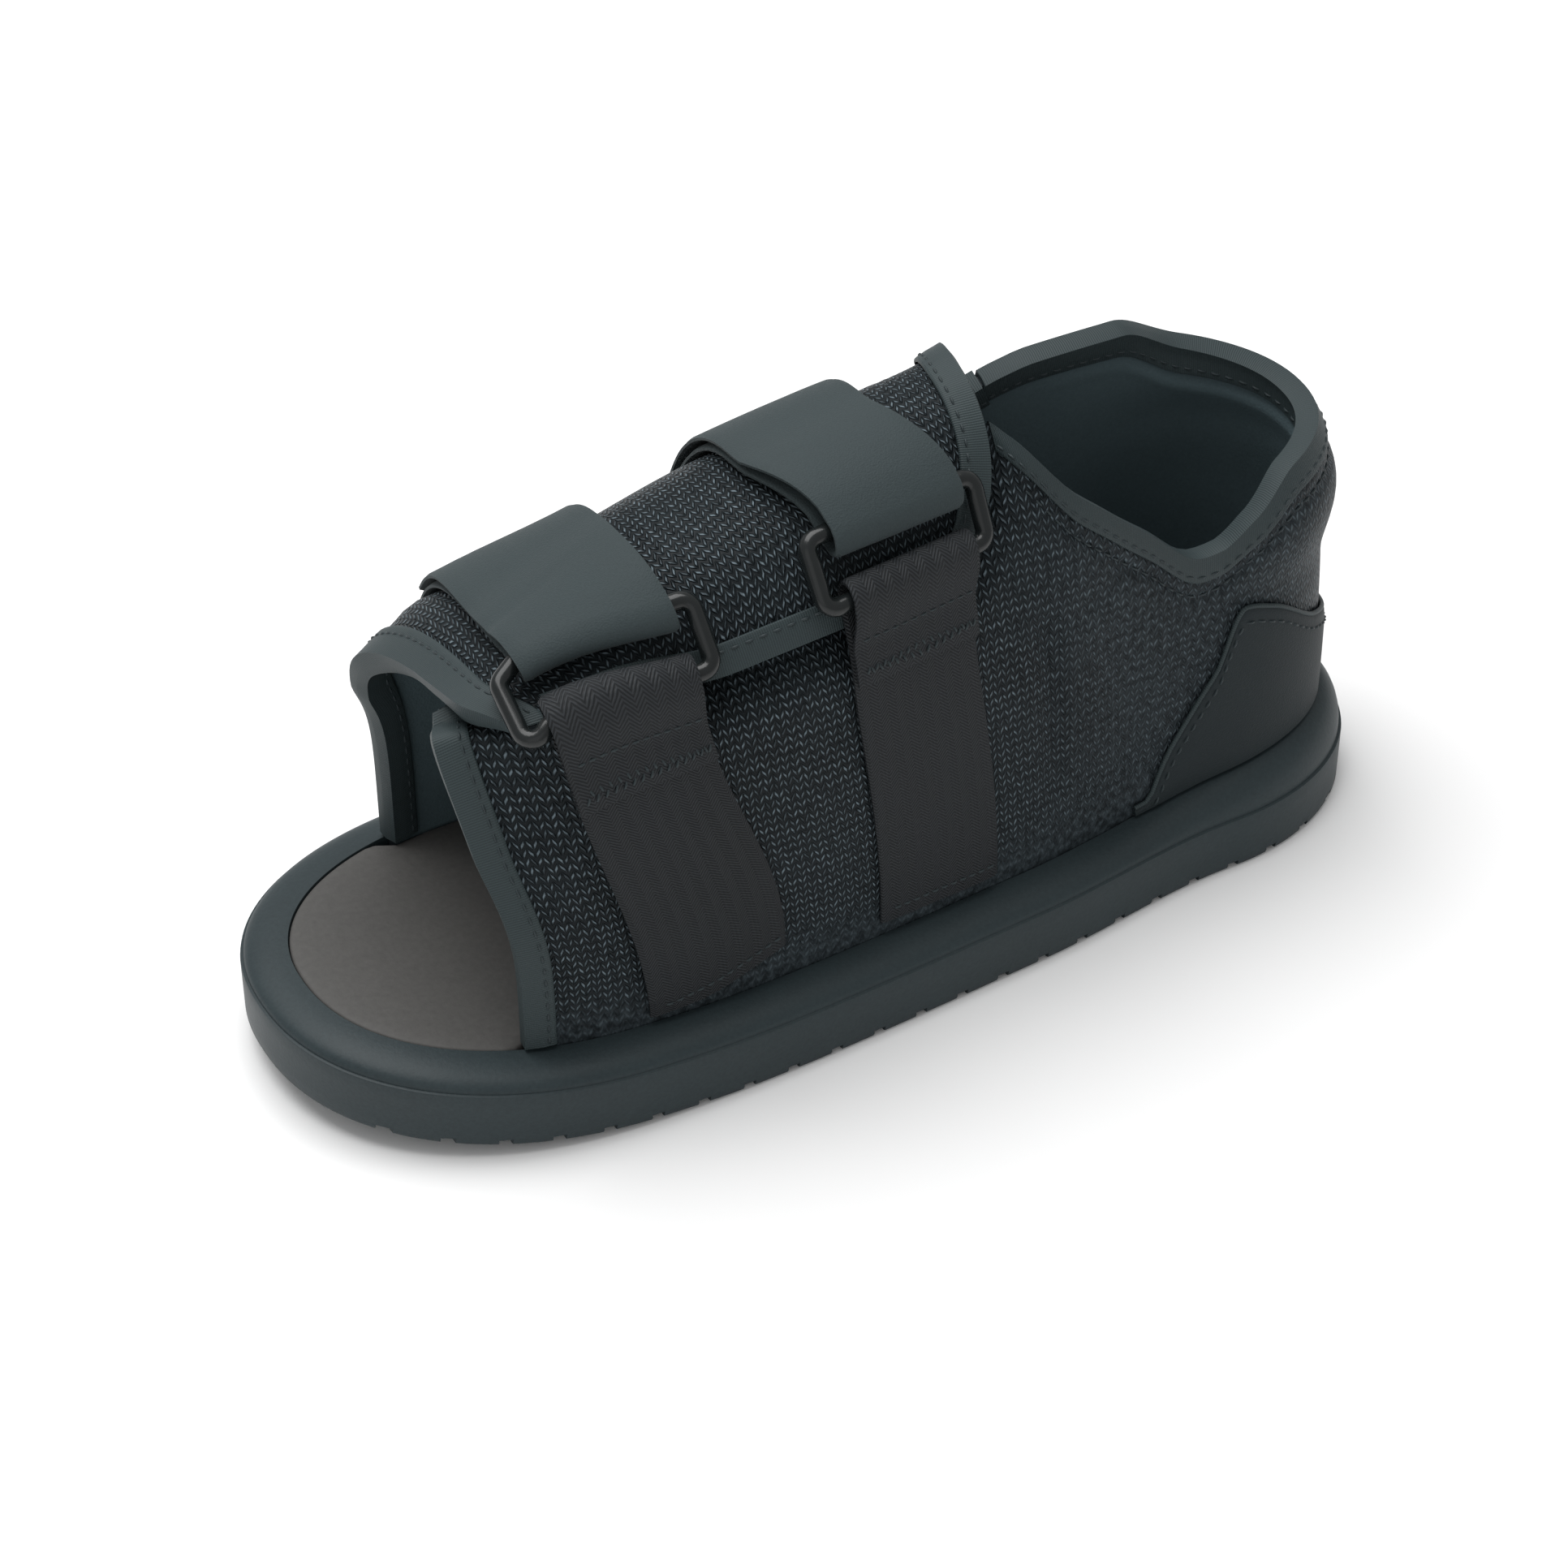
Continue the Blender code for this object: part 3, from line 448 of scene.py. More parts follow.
    def over(self, x: float, distance: float, lift: float) -> Vector:
        """Point above the form.

        Args:
            x: Place along the foot.
            distance: Distance over the skin from the ridge, positive on the left.
            lift: Height above the skin.

        Returns:
            The point in metres.
        """
        x = round(x, 5)
        angles, lengths = self.girth(x)
        distance = min(max(distance, lengths[-1]), lengths[0])
        k = max(i for i in range(len(angles) - 1) if lengths[i] >= distance)
        t = (lengths[k] - distance) / max(1e-9, lengths[k] - lengths[k + 1])
        angle = blend(angles[k], angles[k + 1], t)
        turn, step, margin = 0.02, 2 * MM, 0.001
        low, high = max(margin, angle - turn), min(math.pi - margin, angle + turn)
        across = self.side_point(x, low) - self.side_point(x, high)
        ahead = self.side_point(round(x + step, 5), angle)
        along = ahead - self.side_point(round(x - step, 5), angle)
        return self.side_point(x, angle) + along.cross(across).normalized() * lift


def linear(code: str) -> tuple[float, float, float, float]:
    """Turns an sRGB hex value into a linear colour with alpha.

    Args:
        code: Six hex digits.

    Returns:
        Linear red, green, blue and an alpha of 1.
    """
    parts = [int(code[k:k + 2], 16) / 255 for k in (0, 2, 4)]
    red, green, blue = [c / 12.92 if c <= 0.04045 else ((c + 0.055) / 1.055) ** 2.4 for c in parts]
    return red, green, blue, 1.0


def add_node(
        tree: bpy.types.NodeTree, kind: str, inputs: Optional[dict[Any, Any]] = None,
        **settings: Any) -> bpy.types.Node:
    """Adds a shader node.

    Args:
        tree: Node tree that gets it.
        kind: Blender's name of the node type.
        inputs: Values or sockets for its inputs, by name or number.
        settings: Properties of the node.

    Returns:
        The new node.
    """
    node = tree.nodes.new(kind)
    for name, value in settings.items():
        setattr(node, name, value)
    for key, value in (inputs or {}).items():
        if isinstance(value, bpy.types.NodeSocket):
            tree.links.new(value, node.inputs[key])
        else:
            node.inputs[key].default_value = value
    return node


class Relief(Enum):
    """Small-scale surface of a finish."""

    GRAIN = "grain"
    KNIT = "knit"
    TWILL = "twill"
    RIBS = "ribs"
    NAP = "nap"
    SMOOTH = "smooth"


@dataclass(frozen=True)
class Finish:
    """One real material and how its surface was made.

    deep is the darker colour mixed in where the tone is low: painted shade in the knit's pits and
    between ribs, random mottling on grain and nap; pitch and depth are the size and height of its
    relief.
    """

    name: str
    slot: str
    colour: str
    deep: str
    relief: Relief
    pitch: float
    depth: float
    roughness: float
    ior: float = 1.5
    specular: float = 0.5
    sheen: float = 0.0
    coat: float = 0.0
    coat_roughness: float = 0.15
    wear: float = 0.05
    twill_turn: float = 2.5
    tint_size: float = 30 * MM

    def build(self) -> bpy.types.Material:
        """Makes the node material.

        Returns:
            The material, with its colour, roughness and relief from nodes.
        """
        material = bpy.data.materials.new(self.name)
        material.use_nodes = True
        tree = material.node_tree
        tree.nodes.clear()
        height, tone = self.relief_nodes(tree)
        object_place = add_node(tree, "ShaderNodeTexCoord").outputs["Object"]
        drift = add_node(tree, "ShaderNodeTexNoise", {
            "Vector": object_place, "Scale": 1 / self.tint_size, "Detail": 3.0}).outputs["Fac"]
        drift_share, tone_share = (0.15, 1.0) if self.relief is Relief.KNIT else (0.5, 0.75)
        shade = add_node(
            tree, "ShaderNodeMath", {0: drift, 1: drift_share}, operation="MULTIPLY").outputs[0]
        amount = add_node(
            tree, "ShaderNodeMath", {0: tone, 1: tone_share, 2: shade},
            operation="MULTIPLY_ADD", use_clamp=True).outputs[0]
        # Mixes towards deep where the tone is low: painted shade in the knit's pits and the ribs'
        # grooves, random mottling on grain and nap
        colour = add_node(tree, "ShaderNodeMix", {
            "Factor": amount, "A": linear(self.deep), "B": linear(self.colour)},
            data_type="RGBA").outputs[2]
        rough = add_node(tree, "ShaderNodeMapRange", {
            "Value": drift, "From Min": 0.3, "From Max": 0.7,
            "To Min": self.roughness - self.wear, "To Max": self.roughness + self.wear}).outputs[0]
        bump = add_node(tree, "ShaderNodeBump", {
            "Height": height, "Strength": 1.0, "Distance": self.depth}).outputs[0]
        shader = add_node(tree, "ShaderNodeBsdfPrincipled", {
            "Base Color": colour, "Roughness": rough, "Normal": bump, "IOR": self.ior,
            "Specular IOR Level": self.specular, "Sheen Weight": self.sheen,
            "Coat Weight": self.coat, "Coat Roughness": self.coat_roughness}).outputs[0]
        add_node(tree, "ShaderNodeOutputMaterial", {0: shader})
        material.diffuse_color = linear(self.colour)
        return material

    def relief_nodes(
            self, tree: bpy.types.NodeTree) -> tuple[bpy.types.NodeSocket, bpy.types.NodeSocket]:
        """Adds the nodes of the small relief.

        Args:
            tree: Node tree that gets them.

        Returns:
            Sockets of the height and of the tone, both from 0 to 1.
        """
        cloth = add_node(tree, "ShaderNodeUVMap", uv_map="cloth").outputs[0]
        if self.relief in (Relief.KNIT, Relief.TWILL, Relief.RIBS):
            axes = add_node(tree, "ShaderNodeSeparateXYZ", {0: cloth})
            squeeze = 1.7 if self.relief is Relief.KNIT else 1.0
            across = add_node(
                tree, "ShaderNodeMath", {0: axes.outputs[0], 1: squeeze / self.pitch},
                operation="MULTIPLY").outputs[0]
            up = add_node(
                tree, "ShaderNodeMath", {0: axes.outputs[1], 1: 1 / self.pitch},
                operation="MULTIPLY").outputs[0]
            if self.relief is Relief.KNIT:
                return self.knit_nodes(tree, across, up)
            return self.rib_nodes(tree, across, up)
        place = add_node(tree, "ShaderNodeTexCoord").outputs["Object"]
        fine = add_node(tree, "ShaderNodeTexNoise", {
            "Vector": place, "Scale": 1 / self.pitch, "Detail": 2.0,
            "Roughness": 0.6}).outputs["Fac"]
        if self.relief is Relief.NAP:
            pile = add_node(tree, "ShaderNodeTexVoronoi", {
                "Vector": place, "Scale": 1.4 / self.pitch}).outputs["Distance"]
            height = add_node(
                tree, "ShaderNodeMath", {0: fine, 1: pile}, operation="ADD").outputs[0]
            return height, fine
        return fine, fine

    def knit_nodes(
            self, tree: bpy.types.NodeTree, across: bpy.types.NodeSocket,
            up: bpy.types.NodeSocket) -> tuple[bpy.types.NodeSocket, bpy.types.NodeSocket]:
        """Columns of slanting loops with an open pit between them, as on warp-knitted air mesh; the
        tone paints the loops light, with random glints, as painted highlight, and the pits near black
        as painted shade.

        Args:
            tree: Node tree that gets the nodes.
            across: Distance across the cloth, in loops.
            up: Distance up the cloth, in loops.

        Returns:
            Sockets of the height and of the tone, which carries the painted highlight and painted
            shade.
        """
        cloth = add_node(tree, "ShaderNodeUVMap", uv_map="cloth").outputs[0]
        wander = add_node(tree, "ShaderNodeTexNoise", {
            "Vector": cloth, "Scale": 0.35 / self.pitch, "Detail": 1.0}).outputs["Fac"]
        shifted = add_node(
            tree, "ShaderNodeMath", {0: wander, 1: 0.9, 2: across},
            operation="MULTIPLY_ADD").outputs[0]
        slant = add_node(
            tree, "ShaderNodeMath", {0: shifted, 1: 1.0}, operation="PINGPONG").outputs[0]
        rise = add_node(
            tree, "ShaderNodeMath", {0: slant, 1: 0.85, 2: up}, operation="MULTIPLY_ADD").outputs[0]
        row = add_node(tree, "ShaderNodeMath", {0: rise, 1: 0.5}, operation="PINGPONG").outputs[0]
        thread = add_node(tree, "ShaderNodeMapRange", {
            "Value": row, "From Min": 0.12, "From Max": 0.40, "To Min": 0.0, "To Max": 1.0},
            interpolation_type="SMOOTHSTEP").outputs[0]
        centre = add_node(
            tree, "ShaderNodeMath", {0: slant, 1: 0.5}, operation="SUBTRACT").outputs[0]
        off = add_node(tree, "ShaderNodeMath", {0: centre}, operation="ABSOLUTE").outputs[0]
        arm = add_node(tree, "ShaderNodeMapRange", {
            "Value": off, "From Min": 0.50, "From Max": 0.22, "To Min": 0.12, "To Max": 1.0},
            interpolation_type="SMOOTHSTEP").outputs[0]
        loops = add_node(
            tree, "ShaderNodeMath", {0: thread, 1: arm}, operation="MULTIPLY").outputs[0]
        # Where the knit is tight, the relief and its painted highlight and shade flatten out
        open_share = add_node(tree, "ShaderNodeAttribute", attribute_name="openness").outputs["Fac"]
        flat = add_node(
            tree, "ShaderNodeMath", {0: 1.0, 1: open_share}, operation="SUBTRACT").outputs[0]
        base = add_node(
            tree, "ShaderNodeMath", {0: flat, 1: 0.42}, operation="MULTIPLY").outputs[0]
        height = add_node(
            tree, "ShaderNodeMath", {0: loops, 1: open_share, 2: base},
            operation="MULTIPLY_ADD").outputs[0]
        # Painted shade: the tone falls with the height, so the pits are drawn near black
        pit = add_node(
            tree, "ShaderNodeMath", {0: height, 1: 1.6}, operation="POWER").outputs[0]
        # Painted highlight: random bright glints on the loops, put into the base colour
        painted_glint_noise = add_node(tree, "ShaderNodeTexNoise", {
            "Vector": cloth, "Scale": 1.1 / self.pitch, "Detail": 2.0}).outputs["Fac"]
        painted_glint = add_node(tree, "ShaderNodeMapRange", {
            "Value": painted_glint_noise, "From Min": 0.38, "From Max": 0.68, "To Min": 0.20,
            "To Max": 1.1}).outputs[0]
        tone = add_node(
            tree, "ShaderNodeMath", {0: pit, 1: painted_glint}, operation="MULTIPLY").outputs[0]
        return height, tone

    def rib_nodes(
            self, tree: bpy.types.NodeTree, across: bpy.types.NodeSocket,
            up: bpy.types.NodeSocket) -> tuple[bpy.types.NodeSocket, bpy.types.NodeSocket]:
        """Fine ribs of a narrow woven tape; twill ribs slant and turn back, others run straight.

        Args:
            tree: Node tree that gets the nodes.
            across: Distance along the tape, in ribs.
            up: Distance across the tape, in ribs.

        Returns:
            Sockets of the height and of the tone, which paints the grooves between ribs darker as
            painted shade.
        """
        line = across
        if self.relief is Relief.TWILL:
            fold = add_node(
                tree, "ShaderNodeMath", {0: up, 1: self.twill_turn},
                operation="PINGPONG").outputs[0]
            line = add_node(
                tree, "ShaderNodeMath", {0: fold, 1: across}, operation="ADD").outputs[0]
        rib = add_node(tree, "ShaderNodeMath", {0: line, 1: 0.5}, operation="PINGPONG").outputs[0]
        thread = add_node(tree, "ShaderNodeMapRange", {
            "Value": rib, "From Min": 0.02, "From Max": 0.45},
            interpolation_type="SMOOTHSTEP").outputs[0]
        weft = add_node(
            tree, "ShaderNodeMath", {0: up, 1: 0.5}, operation="PINGPONG").outputs[0]
        height = add_node(
            tree, "ShaderNodeMath", {0: weft, 1: 0.7, 2: thread},
            operation="MULTIPLY_ADD").outputs[0]
        # The tone is the ribs' own height, so the grooves between them are drawn darker as painted
        # shade
        return height, thread


# Closed-cell EVA foam, moulded: satin, with a fine dull skin that catches light on its shoulder
EVA_SOLE = Finish(
    "moulded_eva_foam", "foam", "313C3F", "222A2D", Relief.GRAIN, 0.9 * MM, 0.05 * MM, 0.50,
    specular=0.25)
# Foam sheet, die cut: flat and dull, a warmer grey, slightly mottled
FOAM_SOCK = Finish(
    "die_cut_foam_sheet", "liner", "565553", "434241", Relief.GRAIN, 1.6 * MM, 0.08 * MM, 0.65,
    specular=0.3)
# Polyester air mesh, warp knitted, black: its loops are painted bright as painted highlight and its
# pits near black as painted shade. Real loops are about 1.8 mm high, and 2.1 mm keeps their arms
# apart in the render
AIR_MESH = Finish(
    "warp_knitted_air_mesh", "mesh", "6A777E", "030405", Relief.KNIT, 2.1 * MM, 0.80 * MM, 0.45,
    specular=0.09)
# Polyester tricot, brushed: the smooth dark lining, whose fine pile dulls every highlight
TRICOT = Finish(
    "brushed_tricot_lining", "mesh", "56666B", "475559", Relief.NAP, 0.8 * MM, 0.06 * MM, 0.80,
    specular=0.15)
# Polyester binding tape, woven and pressed flat: cross ribs, slightly satin. Real ribs lie about
# 0.4 mm apart, and 0.55 mm lets them show
# Painted shade: the grooves between its ribs are drawn in the darker colour
TAPE = Finish(
    "woven_binding_tape", "tape", "364143", "283032", Relief.RIBS, 0.55 * MM, 0.05 * MM, 0.55,
    specular=0.25)
# Nylon loop cloth, brushed: an even fine nap that dulls every highlight
LOOP = Finish(
    "brushed_loop_cloth", "loop", "394345", "2F3739", Relief.NAP, 0.55 * MM, 0.08 * MM, 0.70,
    specular=0.2, sheen=0.04)
# Nylon loop cloth on the heel, pressed: the same cloth, darker and smoother
HEEL_CLOTH = Finish(
    "pressed_heel_cloth", "loop", "232B2E", "1C2325", Relief.NAP, 0.6 * MM, 0.06 * MM, 0.62,
    specular=0.2)
# Polypropylene webbing, twill woven: fine slanting ribs, brownish black. Real ribs lie about
# 0.7 mm apart, and 0.9 mm lets the slant show
# Painted shade: the grooves between its ribs are drawn in the near-black colour
WEBBING = Finish(
    "twill_webbing", "web", "303336", "111314", Relief.TWILL, 0.9 * MM, 0.16 * MM, 0.55,
    specular=0.2)
# Acetal, injection moulded and polished: near black, with a narrow soft highlight along the bar
ACETAL = Finish(
    "moulded_acetal", "plastic", "1B1F20", "151818", Relief.SMOOTH, 4.0 * MM, 0.01 * MM, 0.24,
    specular=0.3, coat=0.15)
# Bonded polyester thread, twisted: close to the cloth it sews, a little glossier
THREAD = Finish(
    "bonded_thread", "tape", "363F42", "262D2F", Relief.GRAIN, 0.3 * MM, 0.05 * MM, 0.50,
    specular=0.25)


@dataclass(frozen=True)
class Seam:
    """Sizes of a row of stitches; thread is drawn a little thicker than real, so that it shows."""

    pitch: float = 3.4 * MM
    length: float = 2.5 * MM
    radius: float = 0.32 * MM
    sides: int = 6

    # Share of the stitch's length, share of its radius, and rise in radii
    PROFILE = (
        (-0.50, 0.15, -0.90), (-0.36, 0.80, -0.20), (0.00, 1.00, 0.35), (0.36, 0.80, -0.20),
        (0.50, 0.15, -0.90))


class Workshop:
    """Makes meshes into pieces that ride on the part's one body."""

    def __init__(self) -> None:
        """Starts with no materials made."""
        self.made: dict[str, bpy.types.Material] = {}

    def dress(self, item: bpy.types.Object, *finishes: Finish) -> None:
        """Gives a piece its materials, in the order of its slots.

        Args:
            item: The piece.
            finishes: Finishes of the materials.
        """
        for finish in finishes:
            if finish.name not in self.made:
                self.made[finish.name] = finish.build()
            item.data.materials.append(self.made[finish.name])

    def piece(
            self, name: str, points: Sequence[Vector], faces: Sequence[Sequence[int]],
            finishes: Sequence[Finish], cloth: Optional[Sequence[tuple[float, float]]] = None,
            openness: Optional[Sequence[float]] = None, lined: Sequence[int] = (),
            replaces: Sequence[str] = (), sharp: float = 40.0) -> bpy.types.Object:
        """Makes one piece.

        Args:
            name: Name of the piece.
            points: Its corners in metres.
            faces: Its faces as lists of corner numbers.
            finishes: Its materials.
            cloth: A flat place in metres for each corner, for woven and knitted relief.
            openness: How open the knit is at each corner, from 0 to 1.
            lined: Numbers of the faces that take the second material.
            replaces: CAD nodes that it stands for.
            sharp: Edges that turn by more degrees than this stay crisp.

        Returns:
            The new object.
        """
        mesh = bpy.data.meshes.new(name)
        mesh.from_pydata([tuple(p) for p in points], [], [list(face) for face in faces])
        if cloth is not None:
            layer = mesh.uv_layers.new(name="cloth")
            for loop in mesh.loops:
                layer.data[loop.index].uv = cloth[loop.vertex_index]
        if openness is not None:
            values = mesh.attributes.new("openness", "FLOAT", "POINT")
            values.data.foreach_set("value", list(openness))
        for index in lined:
            mesh.polygons[index].material_index = 1
        shape = bmesh.new()
        shape.from_mesh(mesh)
        bmesh.ops.recalc_face_normals(shape, faces=shape.faces)
        shape.to_mesh(mesh)
        shape.free()
        mesh.shade_smooth()
        mesh.set_sharp_from_angle(angle=math.radians(sharp))
        item = bpy.data.objects.new(name, mesh)
        bpy.context.scene.collection.objects.link(item)
        self.dress(item, *finishes)
        self.hand_over(item, finishes[0], replaces)
        return item

    def hand_over(
            self, item: bpy.types.Object, finish: Finish, replaces: Sequence[str] = ()) -> None:
        """Tells the frame what a piece rides on, takes its finish from and stands for.

        Args:
            item: The piece.
            finish: Its first finish; not used.
            replaces: CAD nodes that it stands for.
        """
        if replaces:
            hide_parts(*replaces)
        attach(item, BODY)
        LOG.info("%s: %d faces", item.name, len(item.data.polygons))

    def sheet(
            self, name: str, outer: Grid, inner: Grid, finishes: Sequence[Finish],
            cloth: Sequence[Sequence[tuple[float, float]]],
            openness: Optional[Sequence[Sequence[float]]] = None,
            replaces: Sequence[str] = ()) -> bpy.types.Object:
        """Closed solid between two grids of points.

        Args:
            name: Name of the piece.
            outer: Rows of points on its outer face.
            inner: Rows of points on its inner face.
            finishes: Its materials; a second one goes on the inner face.
            cloth: Flat places in metres, as a grid.
            openness: How open the knit is, as a grid.
            replaces: CAD nodes that it stands for.

        Returns:
            The new object.
        """
        rows, columns = len(outer), len(outer[0])
        size = rows * columns
        points = [p for grid in (outer, inner) for row in grid for p in row]
        faces: list[list[int]] = []
        lined: list[int] = []
        for i in range(rows - 1):
            for j in range(columns - 1):
                a = i * columns + j
                quad = [a, a + columns, a + columns + 1, a + 1]
                faces.append(quad)
                faces.append([size + v for v in reversed(quad)])
                if len(finishes) > 1:
                    lined.append(len(faces) - 1)
        border = [i * columns for i in range(rows)]
        border += [(rows - 1) * columns + j for j in range(1, columns)]
        border += [i * columns + columns - 1 for i in range(rows - 2, -1, -1)]
        border += list(range(columns - 2, 0, -1))
        for p, q in zip(border, border[1:] + border[:1]):
            faces.append([q, p, size + p, size + q])
        flat = [place for row in cloth for place in row] * 2
        spots = [value for row in openness for value in row] * 2 if openness else None
        return self.piece(name, points, faces, finishes, flat, spots, lined, replaces)

    def tube(
            self, name: str, line: Sequence[Vector], up: Vector, radius: float, finish: Finish,
            closed: bool = False, sides: int = 12, replaces: Sequence[str] = ()) -> bpy.types.Object:
        """Round bar or cord along a line of points.

        Args:
            name: Name of the piece.
            line: Points of its middle.
            up: Direction that the first side of each ring leans to.
            radius: Its radius.
            finish: Its material.
            closed: True where its end joins its start.
            sides: Number of sides.
            replaces: CAD nodes that it stands for.

        Returns:
            The new object.
        """
        points, faces, cloth = [], [], []
        count = len(line)
        travelled = 0.0
        for k, centre in enumerate(line):
            before = line[k - 1] if closed or k else centre
            after = line[(k + 1) % count] if closed or k < count - 1 else centre
            way = (after - before).normalized()
            out = way.cross(up).normalized()
            rise = out.cross(way)
            travelled += (centre - line[k - 1]).length if k else 0.0
            for j in range(sides):
                a = 2 * math.pi * j / sides
                points.append(centre + (out * math.cos(a) + rise * math.sin(a)) * radius)
                cloth.append((travelled, a * radius))
        for k in range(count if closed else count - 1):
            for j in range(sides):
                a, b = k * sides + j, k * sides + (j + 1) % sides
                step = ((k + 1) % count) * sides
                faces.append([a, b, step + (j + 1) % sides, step + j])
        if not closed:
            faces.append(list(range(sides))[::-1])
            faces.append([(count - 1) * sides + j for j in range(sides)])
        return self.piece(name, points, faces, [finish], cloth, replaces=replaces, sharp=70.0)

    def stitches(
            self, name: str, lines: Sequence[Line], seam: Seam = Seam()) -> bpy.types.Object:
        """Rows of thread stitches, all in one piece.

        Args:
            name: Name of the piece.
            lines: Each row as points on the cloth, with the cloth's normal there.
            seam: Sizes of the stitches.

        Returns:
            The new object.
        """
        sides, last = seam.sides, len(seam.PROFILE) - 1
        points, faces = [], []
        for row in lines:
            lengths = travel([place for place, _ in row])
            for n in range(int(lengths[-1] / seam.pitch)):
                middle = (n + 0.5) * seam.pitch
                k, t = locate(lengths, middle)
                place = row[k][0].lerp(row[k + 1][0], t)
                normal = row[k][1].lerp(row[k + 1][1], t).normalized()
                way = (row[k + 1][0] - row[k][0]).normalized()
                side = way.cross(normal).normalized()
                start = len(points)
                for along, share, rise in seam.PROFILE:
                    centre = place + way * (along * seam.length) + normal * (rise * seam.radius)
                    for j in range(sides):
                        a = 2 * math.pi * j / sides
                        spoke = side * math.cos(a) + normal * math.sin(a)
                        points.append(centre + spoke * seam.radius * share)
                for ring in range(start, start + last * sides, sides):
                    for j in range(sides):
                        a, b = ring + j, ring + (j + 1) % sides
                        faces.append([a, b, b + sides, a + sides])
                faces.append([start + j for j in range(sides)][::-1])
                faces.append([start + last * sides + j for j in range(sides)])
        return self.piece(name, points, faces, [THREAD], sharp=80.0)


@dataclass(frozen=True)
class Crease:
    """Soft trough in the cloth along a line, in millimetres; a negative depth makes a ridge."""

    right: bool
    start: tuple[float, float]
    end: tuple[float, float]
    depth: float
    width: float

    def at(self, course: float, point: Vector) -> float:
        """Depth at a point of the upper.

        Args:
            course: Its place round the shoe.
            point: Its place in metres.

        Returns:
            The depth in metres.
        """
        if self.right != (course > 0.5):
            return 0.0
        a, b = Vector(self.start), Vector(self.end)
        spot = Vector((point.x, point.z)) / MM
        t = (spot - a).dot(b - a) / (b - a).length_squared
        near = a.lerp(b, min(1.0, max(0.0, t)))
        return self.depth * MM * math.exp(-((spot - near).length / self.width) ** 2)


@dataclass(eq=False)
class Shell:
    """Padded mesh upper: left quarter, heel, and right quarter with the wrap-over flap."""

    last: Last
    wall: float = 3.0 * MM
    collar_pad: float = 5.0 * MM
    collar_taper: float = 14.0 * MM
    pad_bulge: float = 4.0 * MM
    pad_height: float = 88.0 * MM
    pad_reach: float = 20.0 * MM
    flap_slack: float = 3.2 * MM
    flap_step: float = 14.0 * MM
    front_pull: float = 15.0 * MM
    pull_from: float = 0.33
    pull_reach: float = 0.36
    front_edge: float = 97.0 * MM
    tape_width: float = 6.0 * MM
    tape_cloth: float = 0.9 * MM
    seam_below_tape: float = 4.2 * MM
    seam_depth: float = 0.7 * MM
    seam_width: float = 1.3 * MM
    edge_fade: float = 4.0 * MM
    crease_floor: float = 24.0 * MM
    crease_fade: float = 8.0 * MM
    tight_base: float = 4.0 * MM
    open_from: float = 16.0 * MM
    collar_start: float = -0.29
    collar_end: float = 1.18
    rear_end: float = 1.36
    samples: int = 56
    rows: int = 46
    tape_rows: int = 4
    probes: int = 14

    # Start and end of a stretch round the shoe, and the number of ribs in it
    RIBS = (
        (-1.00, -0.97, 4), (-0.97, -0.36, 50), (-0.36, -0.25, 16), (-0.25, 0.00, 20),
        (0.00, 1.00, 56))
    # Rise of the collar in degrees, by place round the shoe
    COLLAR = Curve((
        (-1.00, 80), (-0.85, 86), (-0.37, 88), (-0.31, 79), (-0.265, 63), (-0.20, 44), (-0.11, 31.5),
        (-0.03, 24.5), (0.08, 28), (0.22, 33), (0.50, 34.5), (0.78, 38), (1.00, 44), (1.12, 44),
        (1.20, 42)))
    # Angle of the flap's long edge in degrees, by share of the foot's length
    FLAP = Curve((
        (-0.250, 136), (-0.182, 138), (-0.158, 125), (-0.137, 110), (-0.122, 92), (-0.113, 78),
        (-0.104, 66), (-0.094, 58), (-0.070, 50), (-0.030, 47), (0.065, 46), (0.160, 49),
        (0.300, 62), (0.360, 66)))
    CREASES = (
        Crease(False, (-42, 84), (-44, 40), 1.6, 3.4),
        Crease(False, (-60, 74), (-72, 30), 1.1, 6.0),
        Crease(False, (-84, 56), (-80, 36), 0.7, 5.0),
        Crease(False, (22, 60), (18, 26), -1.2, 11.0),
        Crease(False, (74, 62), (66, 26), 0.7, 3.5),
        Crease(False, (-54, 86), (-62, 92), 0.9, 4.0),
        Crease(True, (-30, 100), (20, 84), 1.0, 7.0),
        Crease(True, (28, 96), (40, 60), 1.0, 6.0),
        Crease(True, (-66, 78), (-76, 34), 1.0, 6.0),
        Crease(True, (70, 70), (72, 30), 0.8, 6.0),
    )

    def flap_angle(self, x: float) -> float:
        """Angle of the flap's long edge at x."""
        return math.radians(self.FLAP(x / self.last.length))

    def flap_distance(self, x: float, angle: float) -> float:
        """How far a place of the left side lies from the flap, over the skin.

        Args:
            x: Place along the foot.
            angle: Its angle.

        Returns:
            The distance in metres, at most the length of the step.
        """
        nearest = self.flap_step
        for k in range(self.probes):
            shift = self.flap_step * k / self.probes
            below = max(0.0, self.flap_angle(x + shift) - angle) * self.last.instep / 2
            nearest = min(nearest, math.hypot(shift, below))
        return nearest

    def top_rise(self, course: float) -> float:
        """Rise of the top edge: the collar, and on the right the flap's edge.

        Args:
            course: Place round the shoe.

        Returns:
            Angle from the bottom edge up to the top edge.
        """
        collar = math.radians(self.COLLAR(course))
        if course <= 1.0:
            return collar
        x = blend(self.last.heel_centre, self.front_edge, course - 1)
        return blend(collar, math.pi - self.flap_angle(x), ease((course - 1.10) / 0.08))

    def heel_weight(self, course: float) -> float:
        """1 round the heel, fading out along both sides."""
        return ease((course + 0.10) / 0.35) * ease((1.10 - course) / 0.35)

